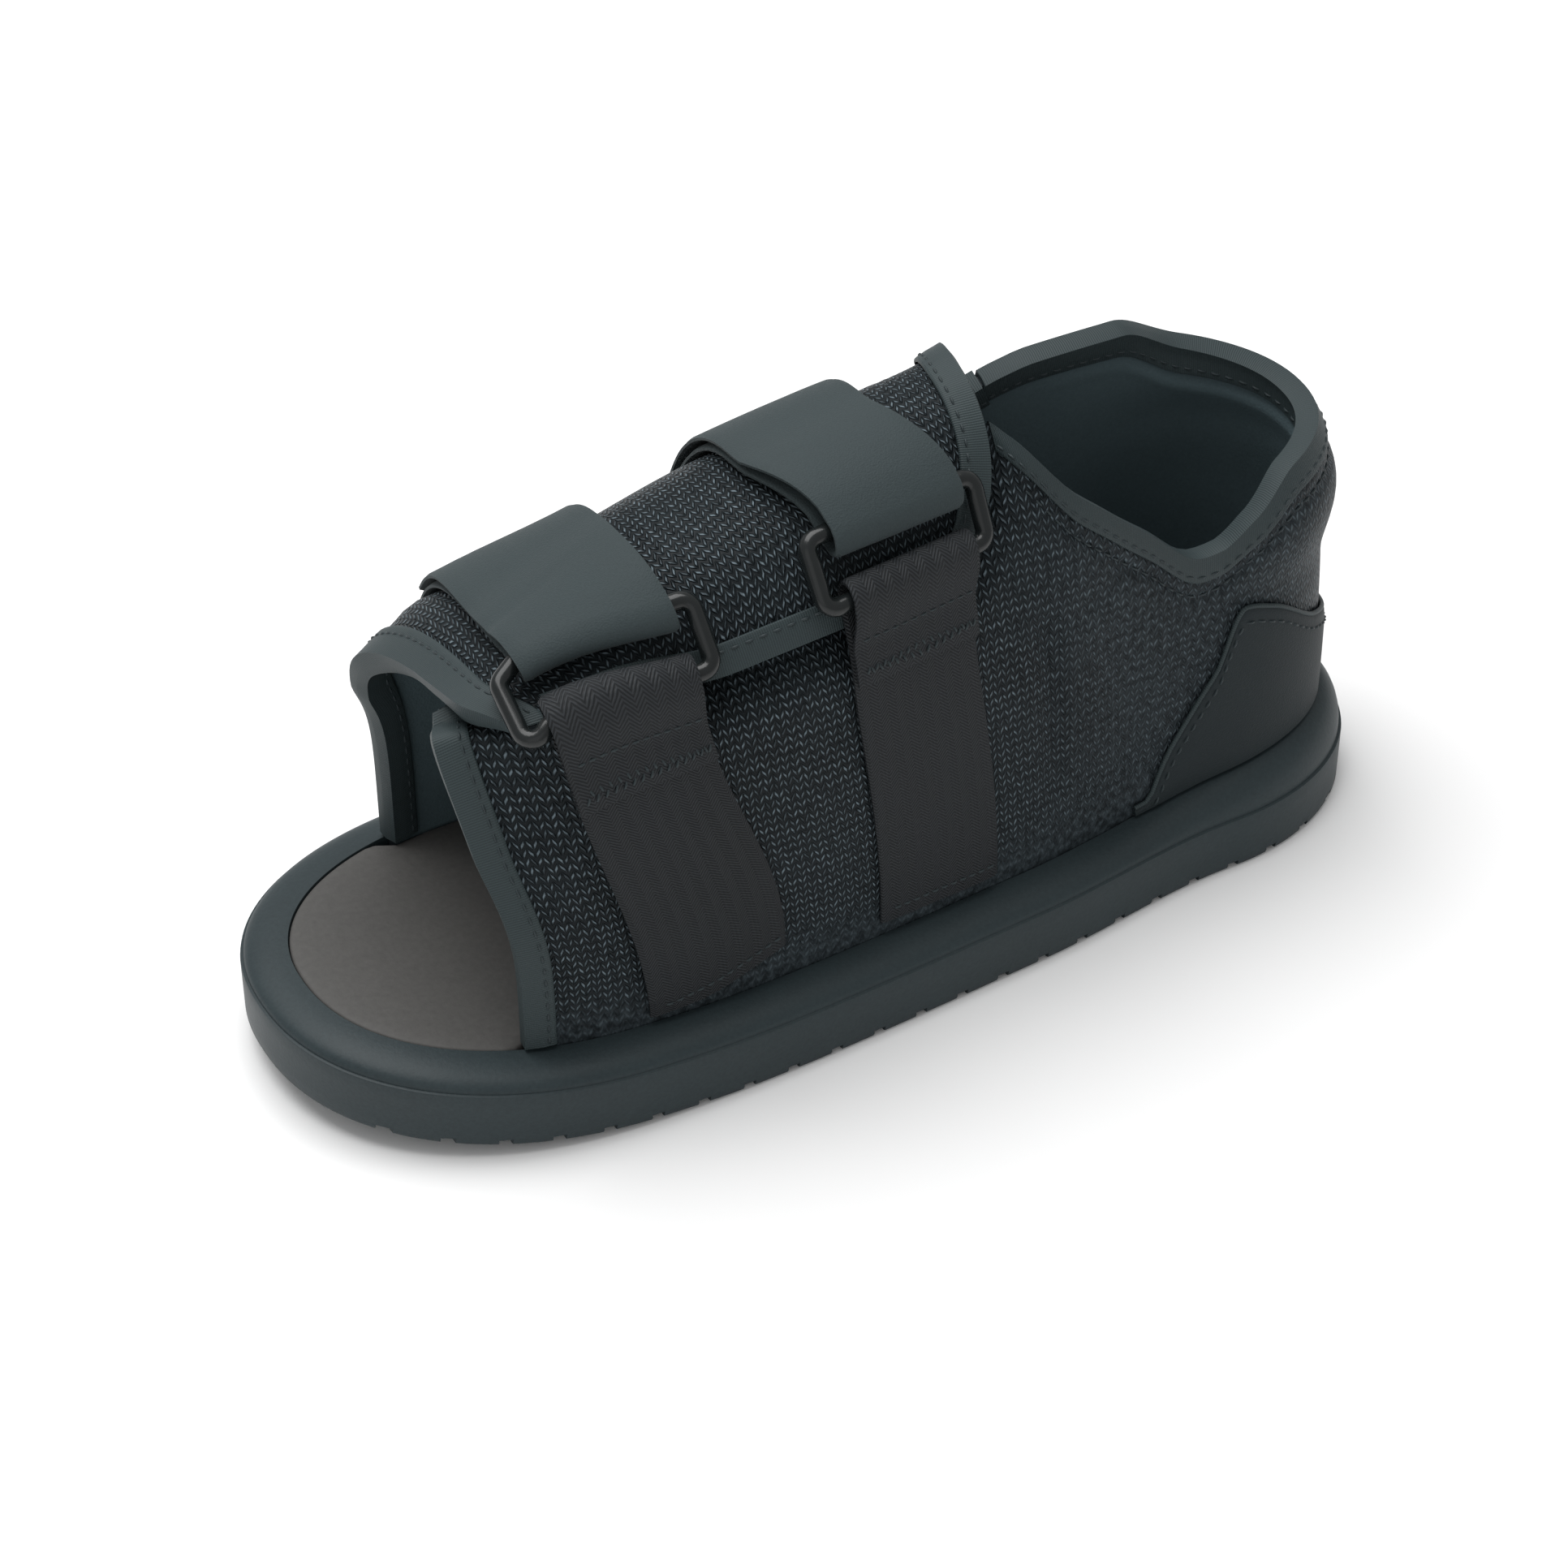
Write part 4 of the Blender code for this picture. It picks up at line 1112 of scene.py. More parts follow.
    def offset(self, course: float, angle: float, point: Vector) -> float:
        """How far the outer face stands off the form.

        Args:
            course: Place round the shoe.
            angle: Its angle.
            point: The form's point there.

        Returns:
            The distance, below 0 where the flap lies over the left quarter.
        """
        roll = ease(1 - abs(point.z - self.pad_height) / self.pad_reach)
        out = self.pad_bulge * roll * self.heel_weight(course)
        if course <= 0:
            under = self.wall + self.last.gap + self.tape_cloth + self.flap_slack
            out -= under * ease(1 - self.flap_distance(point.x, angle) / self.flap_step)
        return out

    def wall_at(self, course: float, angle: float, point: Vector) -> float:
        """Thickness of the wall, more in the padded collar and pinched at its bound edge.

        Args:
            course: Place round the shoe.
            angle: Its angle.
            point: The form's point there.

        Returns:
            The thickness in metres.
        """
        roll = ease((point.z - self.pad_height + self.pad_reach) / self.pad_reach)
        rise = self.own_angle(course, angle)
        below = (self.top_rise(course) - rise) * 0.8 * self.last.instep
        pad = self.collar_pad * roll * self.heel_weight(course)
        return self.wall + pad * ease(below / self.collar_taper)

    def own_angle(self, course: float, rise: float) -> float:
        """Turns a rise from the bottom edge into the form's angle."""
        return math.pi - rise if course >= 1.0 else rise

    @lru_cache(maxsize=None)
    def skin(self, course: float, angle: float) -> Place:
        """Wall of the upper at one place.

        Args:
            course: Place round the shoe.
            angle: Its angle.

        Returns:
            Outer point, inner point and outward normal.
        """
        last = self.last
        point = last.point(course, angle)
        normal = last.normal(course, angle)
        out = self.offset(course, angle, point)
        moved = point.copy()
        if course <= 0:
            near_front = ease((-course - 0.80) / 0.20)
            high = ease((point.z - self.pull_from * last.instep) / (self.pull_reach * last.instep))
            moved.y -= self.front_pull * near_front * high
        outer = moved + normal * out
        inner = moved + normal * (out - self.wall_at(course, angle, point))
        if point.z < last.base(point.x) + self.wall:
            outer.z = inner.z = point.z
        return outer, inner, normal

    @lru_cache(maxsize=None)
    def rib(self, course: float) -> tuple[list[Place], list[float]]:
        """One rib, from its bottom to its top edge.

        Args:
            course: Place round the shoe.

        Returns:
            Its places, closer near the bottom, and the length along it at each.
        """
        top = self.top_rise(course)
        rises = [top * (k / self.samples) ** 1.5 for k in range(self.samples + 1)]
        places = [self.skin(course, self.own_angle(course, rise)) for rise in rises]
        return places, travel([place[0] for place in places])

    def at(self, course: float, length: float) -> Place:
        """Wall of the upper at a distance along a rib.

        Args:
            course: Place of the rib round the shoe.
            length: Distance from its bottom edge.

        Returns:
            Outer point, inner point and outward normal.
        """
        places, lengths = self.rib(course)
        k, t = locate(lengths, min(max(length, 0.0), lengths[-1]))
        low, high = places[k], places[k + 1]
        return low[0].lerp(high[0], t), low[1].lerp(high[1], t), low[2].lerp(high[2], t)

    def total(self, course: float) -> float:
        """Length of a rib."""
        return self.rib(course)[1][-1]

    def length_at_height(self, course: float, height: float) -> float:
        """Distance along a rib at which its outer face reaches a height.

        Args:
            course: Place of the rib round the shoe.
            height: Height above the ground.

        Returns:
            The distance from its bottom edge.
        """
        places, lengths = self.rib(course)
        k = next(i for i, place in enumerate(places) if place[0].z >= height)
        if k == 0:
            return 0.0
        below, above = places[k - 1][0].z, places[k][0].z
        return blend(lengths[k - 1], lengths[k], (height - below) / (above - below))

    @lru_cache(maxsize=None)
    def rear_courses(self, count: int = 46) -> list[float]:
        """Courses that divide the flap's rear edge into even lengths.

        Args:
            count: Number of the lengths.

        Returns:
            The course at the start of each.
        """
        fine = spread(self.collar_end, self.rear_end, 200)
        places = [
            self.last.point(course, self.own_angle(course, self.top_rise(course))) for course in fine]
        lengths = travel(places)
        return [
            next(c for c, length in zip(fine, lengths) if length >= lengths[-1] * k / count)
            for k in range(count)]

    @lru_cache(maxsize=None)
    def courses(self) -> list[float]:
        """Places of the ribs.

        Returns:
            Their courses, closer where the flap's rear edge laps over the left quarter.
        """
        stops: list[float] = []
        for start, end, count in (*self.RIBS, (1.0, self.collar_end, 12)):
            stops += spread(start, end, count)[:-1]
        stops += self.rear_courses() + spread(self.rear_end, 1.97, 44)[:-1]
        return stops + spread(1.97, 2.0, 4)

    def row_lengths(self, course: float) -> list[float]:
        """Distances of the shell's rows along a rib.

        Args:
            course: Place of the rib round the shoe.

        Returns:
            The distances, closer towards the top edge.
        """
        body = self.rows - self.tape_rows
        below = self.total(course) - self.tape_width
        lengths = [below * (1 - (1 - j / body) ** 1.3) for j in range(body)]
        return lengths + spread(below, below + self.tape_width, self.tape_rows)

    def seam_share(self, course: float) -> float:
        """How deep the seam below the collar's tape is, from 0 to 1."""
        start = ease((course - self.collar_start) / 0.04)
        return start * ease((self.collar_end - 0.06 - course) / 0.05)

    def worn(self, course: float, length: float) -> Place:
        """Wall of the upper with the seam and the creases pressed in.

        Args:
            course: Place of the rib round the shoe.
            length: Distance from its bottom edge.

        Returns:
            Outer point, inner point and outward normal.
        """
        outer, inner, normal = self.at(course, length)
        below = self.total(course) - length
        seam = (below - self.tape_width - self.seam_below_tape) / self.seam_width
        dent = self.seam_depth * self.seam_share(course) * math.exp(-seam * seam)
        fade = ease((below - self.tape_width) / self.edge_fade)
        fade *= ease((outer.z - self.crease_floor) / self.crease_fade)
        dent += fade * sum(crease.at(course, outer) for crease in self.CREASES)
        return outer - normal * dent, inner - normal * dent * 0.5, normal

    def openness(self, course: float, point: Vector) -> float:
        """How open the knit is: tight at the lasted base and towards the heel.

        Args:
            course: Place round the shoe.
            point: The outer face's point there.

        Returns:
            0 for closed cloth, up to 1.
        """
        low = ease((point.z - self.last.base(point.x) - self.tight_base) / self.open_from)
        heel = ease((abs(course - 0.5) - 0.62) / 0.28)
        return blend(0.12, 1.0, low) * blend(0.42, 1.0, heel)

    def build(self, shop: Workshop) -> None:
        """Makes the shell, with its lining, and the seam's stitches.

        Args:
            shop: Maker of the pieces.
        """
        outer, inner, cloth, openness = [], [], [], []
        waist = travel([self.at(c, self.total(c) * 0.35)[0] for c in self.courses()])
        for course, travelled in zip(self.courses(), waist):
            lengths = self.row_lengths(course)
            places = [self.worn(course, length) for length in lengths]
            outer.append([place[0] for place in places])
            inner.append([place[1] for place in places])
            cloth.append([(travelled, length) for length in lengths])
            openness.append([self.openness(course, place[0]) for place in places])
        shop.sheet("upper_shell", outer, inner, (AIR_MESH, TRICOT), cloth, openness, ("upper",))
        line = []
        for course in self.courses():
            if self.collar_start + 0.02 < course < self.collar_end - 0.08:
                depth = self.tape_width + self.seam_below_tape
                place = self.worn(course, self.total(course) - depth)
                line.append((place[0] + place[2] * 0.15 * MM, place[2]))
        shop.stitches("collar_seam_stitches", [line])


@dataclass(eq=False)
class Bindings:
    """Tape folded over the upper's free edges and sewn through."""

    shell: Shell
    cloth: float = 0.9 * MM
    tight: float = 0.3 * MM
    loose: float = 0.6 * MM
    stitch_share: float = 0.70
    lap_gap: float = 0.002
    flap_stop: float = 1.96
    front_steps: int = 60

    # Places across the tape from the edge inward, as shares of its width, and how thick it is there
    SHARES = (0.0, 0.12, 0.3, 0.5, 0.7, 0.86, 0.96, 1.0)
    PUFF = (1.0, 1.06, 1.12, 1.16, 1.0, 0.96, 0.8, 0.45)

    def profile(self, places: Sequence[Place], lift: float) -> tuple[list[Vector], list[Vector]]:
        """Cross section of the folded tape.

        Args:
            places: Places of the shell from its edge inward.
            lift: How far the tape's inner face stands off the shell.

        Returns:
            Points of its outer and of its inner face.
        """
        edge = (places[0][0] - places[-1][0]).normalized()
        middle = (places[0][0] + places[0][1]) / 2
        faces = []
        for thickness, crown in ((self.cloth, 1.5 * lift + self.cloth), (0.0, 1.5 * lift)):
            skin, lining = [], []
            for (outer, inner, normal), puff in zip(places, self.PUFF):
                off = lift + thickness * puff
                skin.append(outer + normal * off)
                lining.append(inner - normal * off)
            skin[0] = skin[0] + edge * (crown - lift / 2) * 0.8
            lining[0] = lining[0] + edge * (crown - lift / 2) * 0.8
            faces.append(skin[::-1] + [middle + edge * crown] + lining)
        return faces[0], faces[1]

    def tape(
            self, shop: Workshop, name: str, rows: Sequence[Sequence[Place]], lift: float,
            node: str) -> None:
        """Makes one tape with its stitches.

        Args:
            shop: Maker of the pieces.
            name: Name of the tape.
            rows: For each cross section, places of the shell from its edge inward.
            lift: How far the tape stands off the shell.
            node: CAD node that it stands for.
        """
        outer, inner, cloth, line, back = [], [], [], [], []
        travelled = 0.0
        for k, places in enumerate(rows):
            skin, lining = self.profile(places, lift)
            travelled += (places[0][0] - rows[k - 1][0][0]).length if k else 0.0
            outer.append(skin)
            inner.append(lining)
            cloth.append([(travelled, across) for across in travel(skin)])
            mark = next(i for i, share in enumerate(self.SHARES) if share >= self.stitch_share)
            place = places[mark]
            off = lift + self.cloth * self.PUFF[mark] + 0.02 * MM
            line.append((place[0] + place[2] * off, place[2]))
            back.append((place[1] - place[2] * off, -place[2]))
        shop.sheet(name, outer, inner, (TAPE,), cloth, None, (node,))
        shop.stitches(name + "_stitches", [line, back])

    def inward(self, course: float, angle: float, direction: Vector, distance: float) -> Place:
        """Place of the shell a distance from another one.

        Args:
            course: Course of the other place.
            angle: Its angle.
            direction: Direction on the skin.
            distance: Distance to go.

        Returns:
            Outer point, inner point and outward normal.
        """
        step = 0.002
        last = self.shell.last
        here = last.point(course, angle)
        along = (last.point(course + step, angle) - here) / step
        up = (last.point(course, angle + step) - here) / step
        aa, bb, ab = along.dot(along), up.dot(up), along.dot(up)
        da, db = direction.dot(along) * distance, direction.dot(up) * distance
        scale = aa * bb - ab * ab
        return self.shell.skin(
            course + (da * bb - db * ab) / scale, angle + (db * aa - da * ab) / scale)

    def collar(self, shop: Workshop) -> None:
        """Tape over the collar.

        Args:
            shop: Maker of the pieces.
        """
        shell = self.shell
        stops = [c for c in shell.courses() if shell.collar_start <= c <= shell.collar_end + 1e-9]
        rows = [
            [shell.at(c, shell.total(c) - shell.tape_width * share) for share in self.SHARES]
            for c in stops]
        self.tape(shop, "collar_tape", rows, self.tight, "collar_binding")

    def flap(self, shop: Workshop) -> None:
        """Tape over the flap's rear and long edge.

        Args:
            shop: Maker of the pieces.
        """
        shell = self.shell
        start = shell.collar_end + self.lap_gap
        stops = [start] + [c for c in shell.courses() if start < c < self.flap_stop]
        spots = [(c, shell.own_angle(c, shell.top_rise(c))) for c in stops]
        points = [shell.last.point(*spot) for spot in spots]
        rows = []
        for k, (course, angle) in enumerate(spots):
            way = (points[min(k + 1, len(points) - 1)] - points[max(k - 1, 0)]).normalized()
            inward = -shell.skin(course, angle)[2].cross(way).normalized()
            rows.append([
                self.inward(course, angle, inward, shell.tape_width * share) for share in self.SHARES])
        self.tape(shop, "flap_tape", rows, self.loose, "flap_binding")

    def front(
            self, shop: Workshop, name: str, edge: float, way: float, over_top: bool,
            node: str) -> None:
        """Tape over a front edge.

        Args:
            shop: Maker of the pieces.
            name: Name of the tape.
            edge: Course of the edge.
            way: 1 if the courses grow away from the edge, else -1.
            over_top: True if the tape goes on to the rib's very end.
            node: CAD node that it stands for.
        """
        shell = self.shell
        reach = shell.tape_width / (shell.front_edge - shell.last.heel_centre)
        columns = [edge + way * reach * share for share in self.SHARES]
        foot = shell.last.point(edge, shell.own_angle(edge, 0.01))
        floor = shell.last.rim_at(foot.x) + shell.last.spring(foot.x) + 1 * MM
        lows = [shell.length_at_height(c, floor) for c in columns]
        highs = [shell.total(c) - (0 if over_top else shell.tape_width * 0.2) for c in columns]
        rows = [
            [shell.at(c, blend(low, high, t)) for c, low, high in zip(columns, lows, highs)]
            for t in spread(0.0, 1.0, self.front_steps)]
        self.tape(shop, name, rows, self.loose, node)

    def build(self, shop: Workshop) -> None:
        """Makes all four tapes.

        Args:
            shop: Maker of the pieces.
        """
        self.collar(shop)
        self.flap(shop)
        self.front(shop, "near_front_tape", -1.0, 1.0, False, "left_front_binding")
        self.front(shop, "flap_front_tape", 2.0, -1.0, True, "flap_front_binding")


@dataclass(eq=False)
class HeelCounter:
    """Smooth patch round the heel with a piped edge and a stitch line behind it."""

    shell: Shell
    cloth: float = 1.2 * MM
    cord_radius: float = 0.6 * MM
    seam: float = 4.0 * MM
    stitch_lift: float = 0.3 * MM
    above_rim: float = 1.0 * MM
    edge_round: float = 1.2 * MM
    puff: float = 0.25 * MM
    puff_reach: float = 5.0 * MM
    rows: int = 22
    columns: int = 130

    # Height of the patch's edge as a share of the instep, by place round the shoe
    EDGE = Curve((
        (-0.125, 0.135), (-0.055, 0.28), (0.00, 0.40), (0.07, 0.52), (0.15, 0.50), (0.30, 0.41),
        (0.50, 0.34), (0.70, 0.41), (0.85, 0.50), (0.93, 0.52), (1.00, 0.40), (1.055, 0.28),
        (1.125, 0.135)))

    def build(self, shop: Workshop) -> None:
        """Makes the patch, its piping and its stitches.

        Args:
            shop: Maker of the pieces.
        """
        shell, last = self.shell, self.shell.last
        outer, inner, cloth, edge, line = [], [], [], [], []
        for k, course in enumerate(spread(-0.12, 1.12, self.columns)):
            foot = last.point(course, shell.own_angle(course, 0.01))
            floor = last.rim_at(foot.x) + self.above_rim
            ceiling = max(self.EDGE(course) * last.instep, floor + 2 * self.above_rim)
            low = shell.length_at_height(course, floor)
            high = shell.length_at_height(course, ceiling)
            lengths = [blend(low, high, 1 - (1 - t) ** 1.4) for t in spread(0.0, 1.0, self.rows)]
            places = [shell.worn(course, length) for length in lengths]
            side = ease(min(k, self.columns - k) / 2)
            out_row, in_row = [], []
            for (skin, _, normal), length in zip(places, lengths):
                rim = blend(0.5, 1.0, ease((high - length) / self.edge_round))
                puff = self.puff * ease((high - length) / self.puff_reach) * side
                out_row.append(skin + normal * (last.gap + self.cloth * rim + puff))
                in_row.append(skin + normal * last.gap)
            outer.append(out_row)
            inner.append(in_row)
            cloth.append([(course * 0.2, length) for length in lengths])
            place = shell.worn(course, high)
            edge.append(place[0] + place[2] * (last.gap + self.cord_radius * 0.9))
            behind = shell.worn(course, max(low, high - self.seam))
            off = last.gap + self.cloth + self.stitch_lift
            line.append((behind[0] + behind[2] * off, behind[2]))
        shop.sheet(
            "heel_counter_patch", outer, inner, (HEEL_CLOTH,), cloth, None, ("heel_counter",))
        shop.tube("heel_counter_piping", edge, Vector((0, 0, 1)), self.cord_radius, TAPE, sides=10)
        shop.stitches("heel_counter_stitches", [line[3:-3]])


@dataclass(eq=False)
class Closure:
    """One strap with its ring and the webbing that holds the ring.

    ring_x, foot, far and ridge are shares of the foot's length, where the ring, the webbing's and
    the strap's lower ends and the strap's crest lie; toe_mid and heel_mid are the angles of the
    ring's middle at its two ends, in degrees.
    """

    last: Last
    name: str
    ring_x: float
    toe_mid: float
    heel_mid: float
    foot: float
    foot_width: float
    far: float
    ridge: float
    strap_width: float = 33.2 * MM
    strap_cloth: float = 1.4 * MM
    strap_lift: float = 0.6 * MM
    strap_bulge: float = 0.6 * MM
    ramp: float = 30.0 * MM
    strap_return: float = 45.0 * MM
    web_cloth: float = 1.3 * MM
    web_return: float = 20.0 * MM
    strap_slack: float = 1.1 * MM
    web_slack: float = 0.7 * MM
    web_level: float = 8.0 * MM
    web_slope: float = 24.0 * MM
    wire: float = 4.2 * MM
    ring_length: float = 43.2 * MM
    ring_height: float = 13.8 * MM
    ring_corner: float = 3.0 * MM
    ply_gap: float = 0.5 * MM
    tape: float = 1.5 * MM
    strap_foot: float = 8.5 * MM
    web_foot: float = 7.0 * MM
    strap_settle: float = 28.0 * MM
    web_settle: float = 12.0 * MM
    bulge_fade: float = 20.0 * MM
    bulge_stop: float = 12.0 * MM
    hem: float = 3.5 * MM
    bar_seam: float = 9.0 * MM
    zigzag: float = 1.1 * MM
    seam_span: float = 0.94
    turn_room: float = 2.0 * MM
    turn_steps: int = 14

    # Places across a band of cloth, as shares of its width, closer at its rounded edges
    ACROSS = (
        -0.5, -0.492, -0.47, -0.4, -0.28, -0.14, 0.0, 0.14, 0.28, 0.4, 0.47, 0.492, 0.5)

    def __post_init__(self) -> None:
        """Places the ring: its middle, how far it is skewed and how high its bars lie."""
        reach = self.ring_length / 2
        self.x = self.ring_x * self.last.length
        toe = self.last.ridge_distance(round(self.x + reach, 5), math.radians(self.toe_mid))
        heel = self.last.ridge_distance(round(self.x - reach, 5), math.radians(self.heel_mid))
        self.middle = (toe + heel) / 2
        self.skew = (toe - heel) / self.ring_length
        self.bar_lift = self.tape + self.last.gap + self.strap_cloth + self.ply_gap + self.wire / 2

    def ribbon(
            self, shop: Workshop, name: str, path: Sequence[tuple[float, float]], cloth: float,
            lane: Lane, finish: Finish, node: str) -> None:
        """Band of cloth over the foot.

        Args:
            shop: Maker of the pieces.
            name: Name of the band.
            path: Distance from the ridge and lift of its middle face, in order.
            cloth: Its thickness.
            lane: Gives its place along the foot, width and skew at a distance.
            finish: Its material.
            node: CAD node that it stands for.
        """
        outer, inner, flat = [], [], []
        travelled = 0.0
        for k, (distance, lift) in enumerate(path):
            before, after = path[max(0, k - 1)], path[min(len(path) - 1, k + 1)]
            way = Vector((after[0] - before[0], after[1] - before[1])).normalized()
            if k:
                travelled += math.hypot(distance - path[k - 1][0], lift - path[k - 1][1])
            centre, width, skew = lane(distance)
            rows: list[list[Vector]] = []
            for sign in (1, -1):
                row = []
                for share in self.ACROSS:
                    edge = min(1.0, 0.45 + 0.55 * ease((0.5 - abs(share)) / 0.03))
                    side = Vector((-way.y, way.x)) * cloth / 2 * edge * sign
                    across = width * share
                    skewed = distance + side.x + across * skew
                    row.append(self.last.over(centre + across, skewed, lift + side.y))
                rows.append(row)
            outer.append(rows[0])
            inner.append(rows[1])
            flat.append([(travelled, width * share) for share in self.ACROSS])
        shop.sheet(name, outer, inner, (finish,), flat, None, (node,))

    def fillet(self, before: Vector, corner: Vector, after: Vector, steps: int = 6) -> list[Vector]:
        """Round corner between two straight bars.

        Args:
            before: Point on the first bar.
            corner: Where the bars would meet.
            after: Point on the second bar.
            steps: Number of steps round the corner.

        Returns:
            Points of the corner.
        """
        u, v = (before - corner).normalized(), (after - corner).normalized()
        half = math.acos(u.dot(v)) / 2
        out = -(u + v).normalized()
        centre = corner - out * self.ring_corner / math.sin(half)
        tangent = (v - u).normalized()
        sweep = math.pi / 2 - half
        return [
            centre + (out * math.cos(a) + tangent * math.sin(a)) * self.ring_corner
            for a in spread(-sweep, sweep, steps)]

    def ring(self, shop: Workshop) -> None:
        """Rounded rectangular ring of round plastic.

        Args:
            shop: Maker of the pieces.
        """
        def spot(along: float, across: float) -> Vector:
            """Point of the ring's line, from shares between -1 and 1."""
            a, b = along * self.ring_length / 2, across * self.ring_height / 2
            return self.last.over(self.x + a, self.middle + b + a * self.skew, self.bar_lift)

        seat = self.strap_width / self.ring_length
        line: list[Vector] = []
        for across in (1, -1):
            stops = [spot(across * along, across) for along in (1, *spread(seat, -seat, 12), -1)]
            line += self.fillet(spot(across, -across), stops[0], stops[1])
            line += stops[1:-1]
            line += self.fillet(stops[-2], stops[-1], spot(-across, -across))
        up = self.last.over(self.x, self.middle, 0.02) - self.last.over(self.x, self.middle, 0.01)
        shop.tube(
            self.name + "_loop_ring", line, up.normalized(), self.wire / 2, ACETAL, closed=True,
            sides=18, replaces=(self.name + "_ring",))

    def seam(
            self, lane: Lane, distance: float, lift: float, zig: float) -> Line:
        """Seam across a band of cloth.

        Args:
            lane: Gives the band's place along the foot, width and skew at a distance.
            distance: Distance of the seam from the ridge.
            lift: Height of the band's face above the skin.
            zig: How far the seam goes to and fro; 0 is straight.

        Returns:
            Places on the face, with its normal.
        """
        steps = 30
        centre, width, skew = lane(distance)
        row = []
        for k in range(steps + 1):
            across = width * self.seam_span * (k / steps - 0.5)
            s = distance + across * skew + (zig if k % 2 else -zig)
            place = self.last.over(centre + across, s, lift + 0.05 * MM)
            raised = self.last.over(centre + across, s, lift + 1 * MM)
            row.append((place, (raised - place).normalized()))
        return row

    def turn(self, bar: float, radius: float, slack: float) -> list[tuple[float, float]]:
        """Slack half turn of cloth round a ring's bar.

        Args:
            bar: Distance of the bar from the ridge.
            radius: Radius of the turn, upright.
            slack: How much wider it is than upright.

        Returns:
            Distance from the ridge and lift of its points, from below the bar to above it.
        """
        return [
            (bar + (radius + slack) * math.cos(a), self.bar_lift + radius * math.sin(a))
            for a in spread(-math.pi / 2, math.pi / 2, self.turn_steps)]

    def strap(self, shop: Workshop) -> None:
        """Strap from the right base over the instep, through the ring and back on itself.

        Args:
            shop: Maker of the pieces.
        """
        bar = self.middle - self.ring_height / 2
        radius = self.wire / 2 + self.ply_gap + self.strap_cloth / 2
        far_x = self.far * self.last.length
        bottom = self.last.girth(round(far_x, 5))[1][-1] + self.strap_foot
        start = self.last.gap + self.strap_cloth / 2
        rest = self.tape + start
        stack = self.strap_cloth + self.ply_gap

        def low_lift(s: float) -> float:
            """Lift of the lower ply."""
            hump = self.strap_lift * ease((s - bottom) / self.ramp) * ease((bar - s) / self.ramp)
            return blend(start, rest, ease(2 * (s - bar + self.ramp) / self.ramp)) + hump

        def high_lift(s: float) -> float:
            """Lift of the upper ply.

            Args:
                s: Distance from the ridge.

            Returns:
                The lift of its middle face.
            """
            end = -self.strap_return
            rise, fall = (s - end) / self.bulge_fade, (bar - self.bulge_stop - s) / self.bulge_fade
            over = self.bar_lift + radius - low_lift(s) - stack
            hump = self.strap_bulge * ease(rise) * ease(fall)
            return low_lift(s) + stack + hump + over * ease(1 + (s - bar) / self.strap_settle)

        def lane(s: float) -> tuple[float, float, float]:
            """Course of the band.

            Args:
                s: Distance from the ridge.

            Returns:
                Its place along the foot, width and skew.
            """
            ridge = self.ridge * self.last.length
            near = blend(ridge, self.x, ease(s / bar))
            away = blend(ridge, far_x, ease(s / bottom))
            return (near if s > 0 else away), self.strap_width, self.skew * ease(s / bar)

        short = bar - self.turn_room
        path = [(s, low_lift(s)) for s in spread(bottom, short, 44)[:-1]]
        path += self.turn(bar, radius, self.strap_slack)
        path += [(s, high_lift(s)) for s in spread(short, -self.strap_return, 36)[1:]]
        self.ribbon(
            shop, self.name + "_loop_strap", path, self.strap_cloth, lane, LOOP,
            self.name + "_strap")
        feet = [
            self.seam(lane, bottom + rise, start + self.strap_cloth / 2, 0.0)
            for rise in (self.hem, 2 * self.hem)]
        shop.stitches(self.name + "_strap_stitches", feet)

    def webbing(self, shop: Workshop) -> None:
        """Webbing from the left base up to the ring, folded over its bar and sewn.

        Args:
            shop: Maker of the pieces.
        """
        last = self.last
        bar = self.middle + self.ring_height / 2
        radius = self.wire / 2 + self.ply_gap + self.web_cloth / 2
        foot_x = self.foot * last.length
        bottom = last.girth(round(foot_x, 5))[1][0] - self.web_foot
        stack = self.web_cloth + self.ply_gap
        rest = self.bar_lift - radius

        def low_lift(s: float) -> float:
            """Lift of the lower ply."""
            slope = ease(1 - (s - bar - self.web_level) / self.web_slope)
            return blend(last.gap + self.web_cloth / 2, rest, slope)

        def high_lift(s: float) -> float:
            """Lift of the upper ply.

            Args:
                s: Distance from the ridge.

            Returns:
                The lift of its middle face.
            """
            over = self.bar_lift + radius - low_lift(s) - stack
            return low_lift(s) + stack + over * ease(1 - (s - bar) / self.web_settle)

        def lane(s: float) -> tuple[float, float, float]:
            """Course of the band.

            Args:
                s: Distance from the ridge.

            Returns:
                Its place along the foot, width and skew.
            """
            share = ease((bottom - s) / (bottom - bar))
            width = blend(self.foot_width, self.strap_width, share)
            return blend(foot_x, self.x, share), width, self.skew * share

        short = bar + self.turn_room
        path = [(s, low_lift(s)) for s in spread(bottom, short, 40)[:-1]]
        path += [(2 * bar - s, lift) for s, lift in self.turn(bar, radius, self.web_slack)]
        path += [(s, high_lift(s)) for s in spread(short, bar + self.web_return, 18)[1:]]
        self.ribbon(
            shop, self.name + "_ring_webbing", path, self.web_cloth, lane, WEBBING,
            self.name + "_webbing")
        rows = [
            self.seam(lane, distance, high_lift(distance) + self.web_cloth / 2, zig)
            for distance, zig in (
                (bar + self.bar_seam, 0.0), (bar + self.web_return - self.hem, self.zigzag))]
        rows.append(self.seam(lane, bottom - self.hem, low_lift(bottom) + self.web_cloth / 2, 0.0))
        shop.stitches(self.name + "_webbing_stitches", rows, Seam(2.6 * MM, 2.1 * MM))

